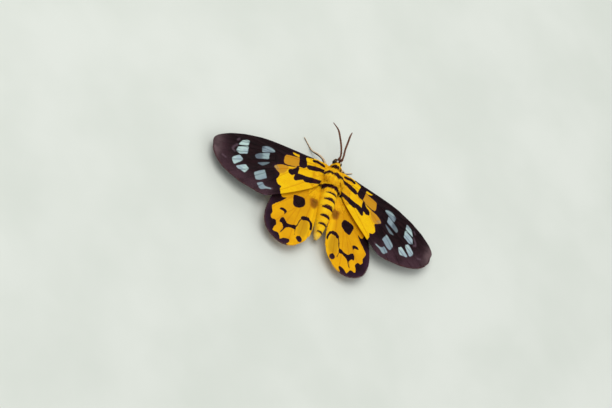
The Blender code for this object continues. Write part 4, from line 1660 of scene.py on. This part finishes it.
def leg_blades(name, station, places, ways, ups, lengths, widths, lift):
    chart = np.column_stack([station * 0.2 + 0.1, np.linspace(0.05, 0.95, len(station))])
    made = blades(name, places, ways, ups, lengths, widths, 0.03, lift, curl=0.1, chart=chart)
    write_attribute(made, "upper", per_blade(ups @ STRIPE_FACES))
    return made


def leg_scales(name, path, station, girth, draw):
    """A dusting of scales that lie along the leg, each as dark as the side it grows on."""
    along, sideways = path_frame(path)
    pick = draw.integers(2, len(path) - 3, SCALES_PER_LEG)
    turn = draw.uniform(0, 2 * math.pi, len(pick))[:, None]
    ups = sideways[pick] * np.cos(turn) + np.cross(sideways, along)[pick] * np.sin(turn)
    roots = path[pick] + ups * (girth[pick] * 0.88)[:, None]
    lengths = 0.3 * (0.5 + girth[pick]) * draw.uniform(0.7, 1.2, len(pick))
    lift = np.radians(draw.uniform(3, 14, len(pick)))
    return leg_blades(name, station[pick], roots, along[pick], ups, lengths, 0.07, lift)


def leg_spikes(name, path, station, picks, fan, length, width):
    """Pairs of spurs or claws that fan out from the leg's line."""
    along, sideways = path_frame(path)
    fans = np.array([fan * (-1) ** i for i in range(len(picks))])[:, None]
    ways = along[picks] + sideways[picks] * fans
    ups = np.tile((0.0, 0.0, 1.0), (len(picks), 1))
    sizes = np.full(len(picks), length)
    return leg_blades(name, station[picks], path[picks], ways, ups, sizes, width, 0.0)


def make_leg(pair, side_name, side, seed):
    draw = np.random.default_rng(seed)
    name = f"leg_{pair}_{side_name}"
    path = leg_line(pair, side)
    station = np.linspace(0, 4, len(path))
    girth = leg_girth(station)
    shaft = tube(name, path, girth)
    write_attribute(shaft, "upper", vertex_rows(shaft, "normal") @ STRIPE_FACES)
    parts = [leg_scales(name, path, station, girth, draw)]
    claws = [len(path) - 2] * 2
    parts.append(leg_spikes(name, path, station, claws, 0.5, CLAW_LENGTH, 0.1))
    spurs = [int(s / 4 * (len(path) - 1)) for s in SPUR_PLACES[pair] for _ in (0, 1)]
    if spurs:
        parts.append(leg_spikes(name, path, station, spurs, 0.35, SPUR_LENGTH, 0.2))

    leg = joined([*parts, shaft], f"{name}_dressed")
    points = to_moth(leg.data)
    points[:, 2] = np.maximum(points[:, 2], 0.0)
    set_places(leg, points)
    nodes = [f"{name}_{piece}" for piece in ("femur", "tibia", "tarsus")]
    settle(leg, leg_material, "chitin", *nodes)


for leg_number, leg_pair in enumerate(LEG_PATHS):
    for side_name, side in SIDES.items():
        make_leg(leg_pair, side_name, side, 41 + 2 * leg_number + (side < 0))
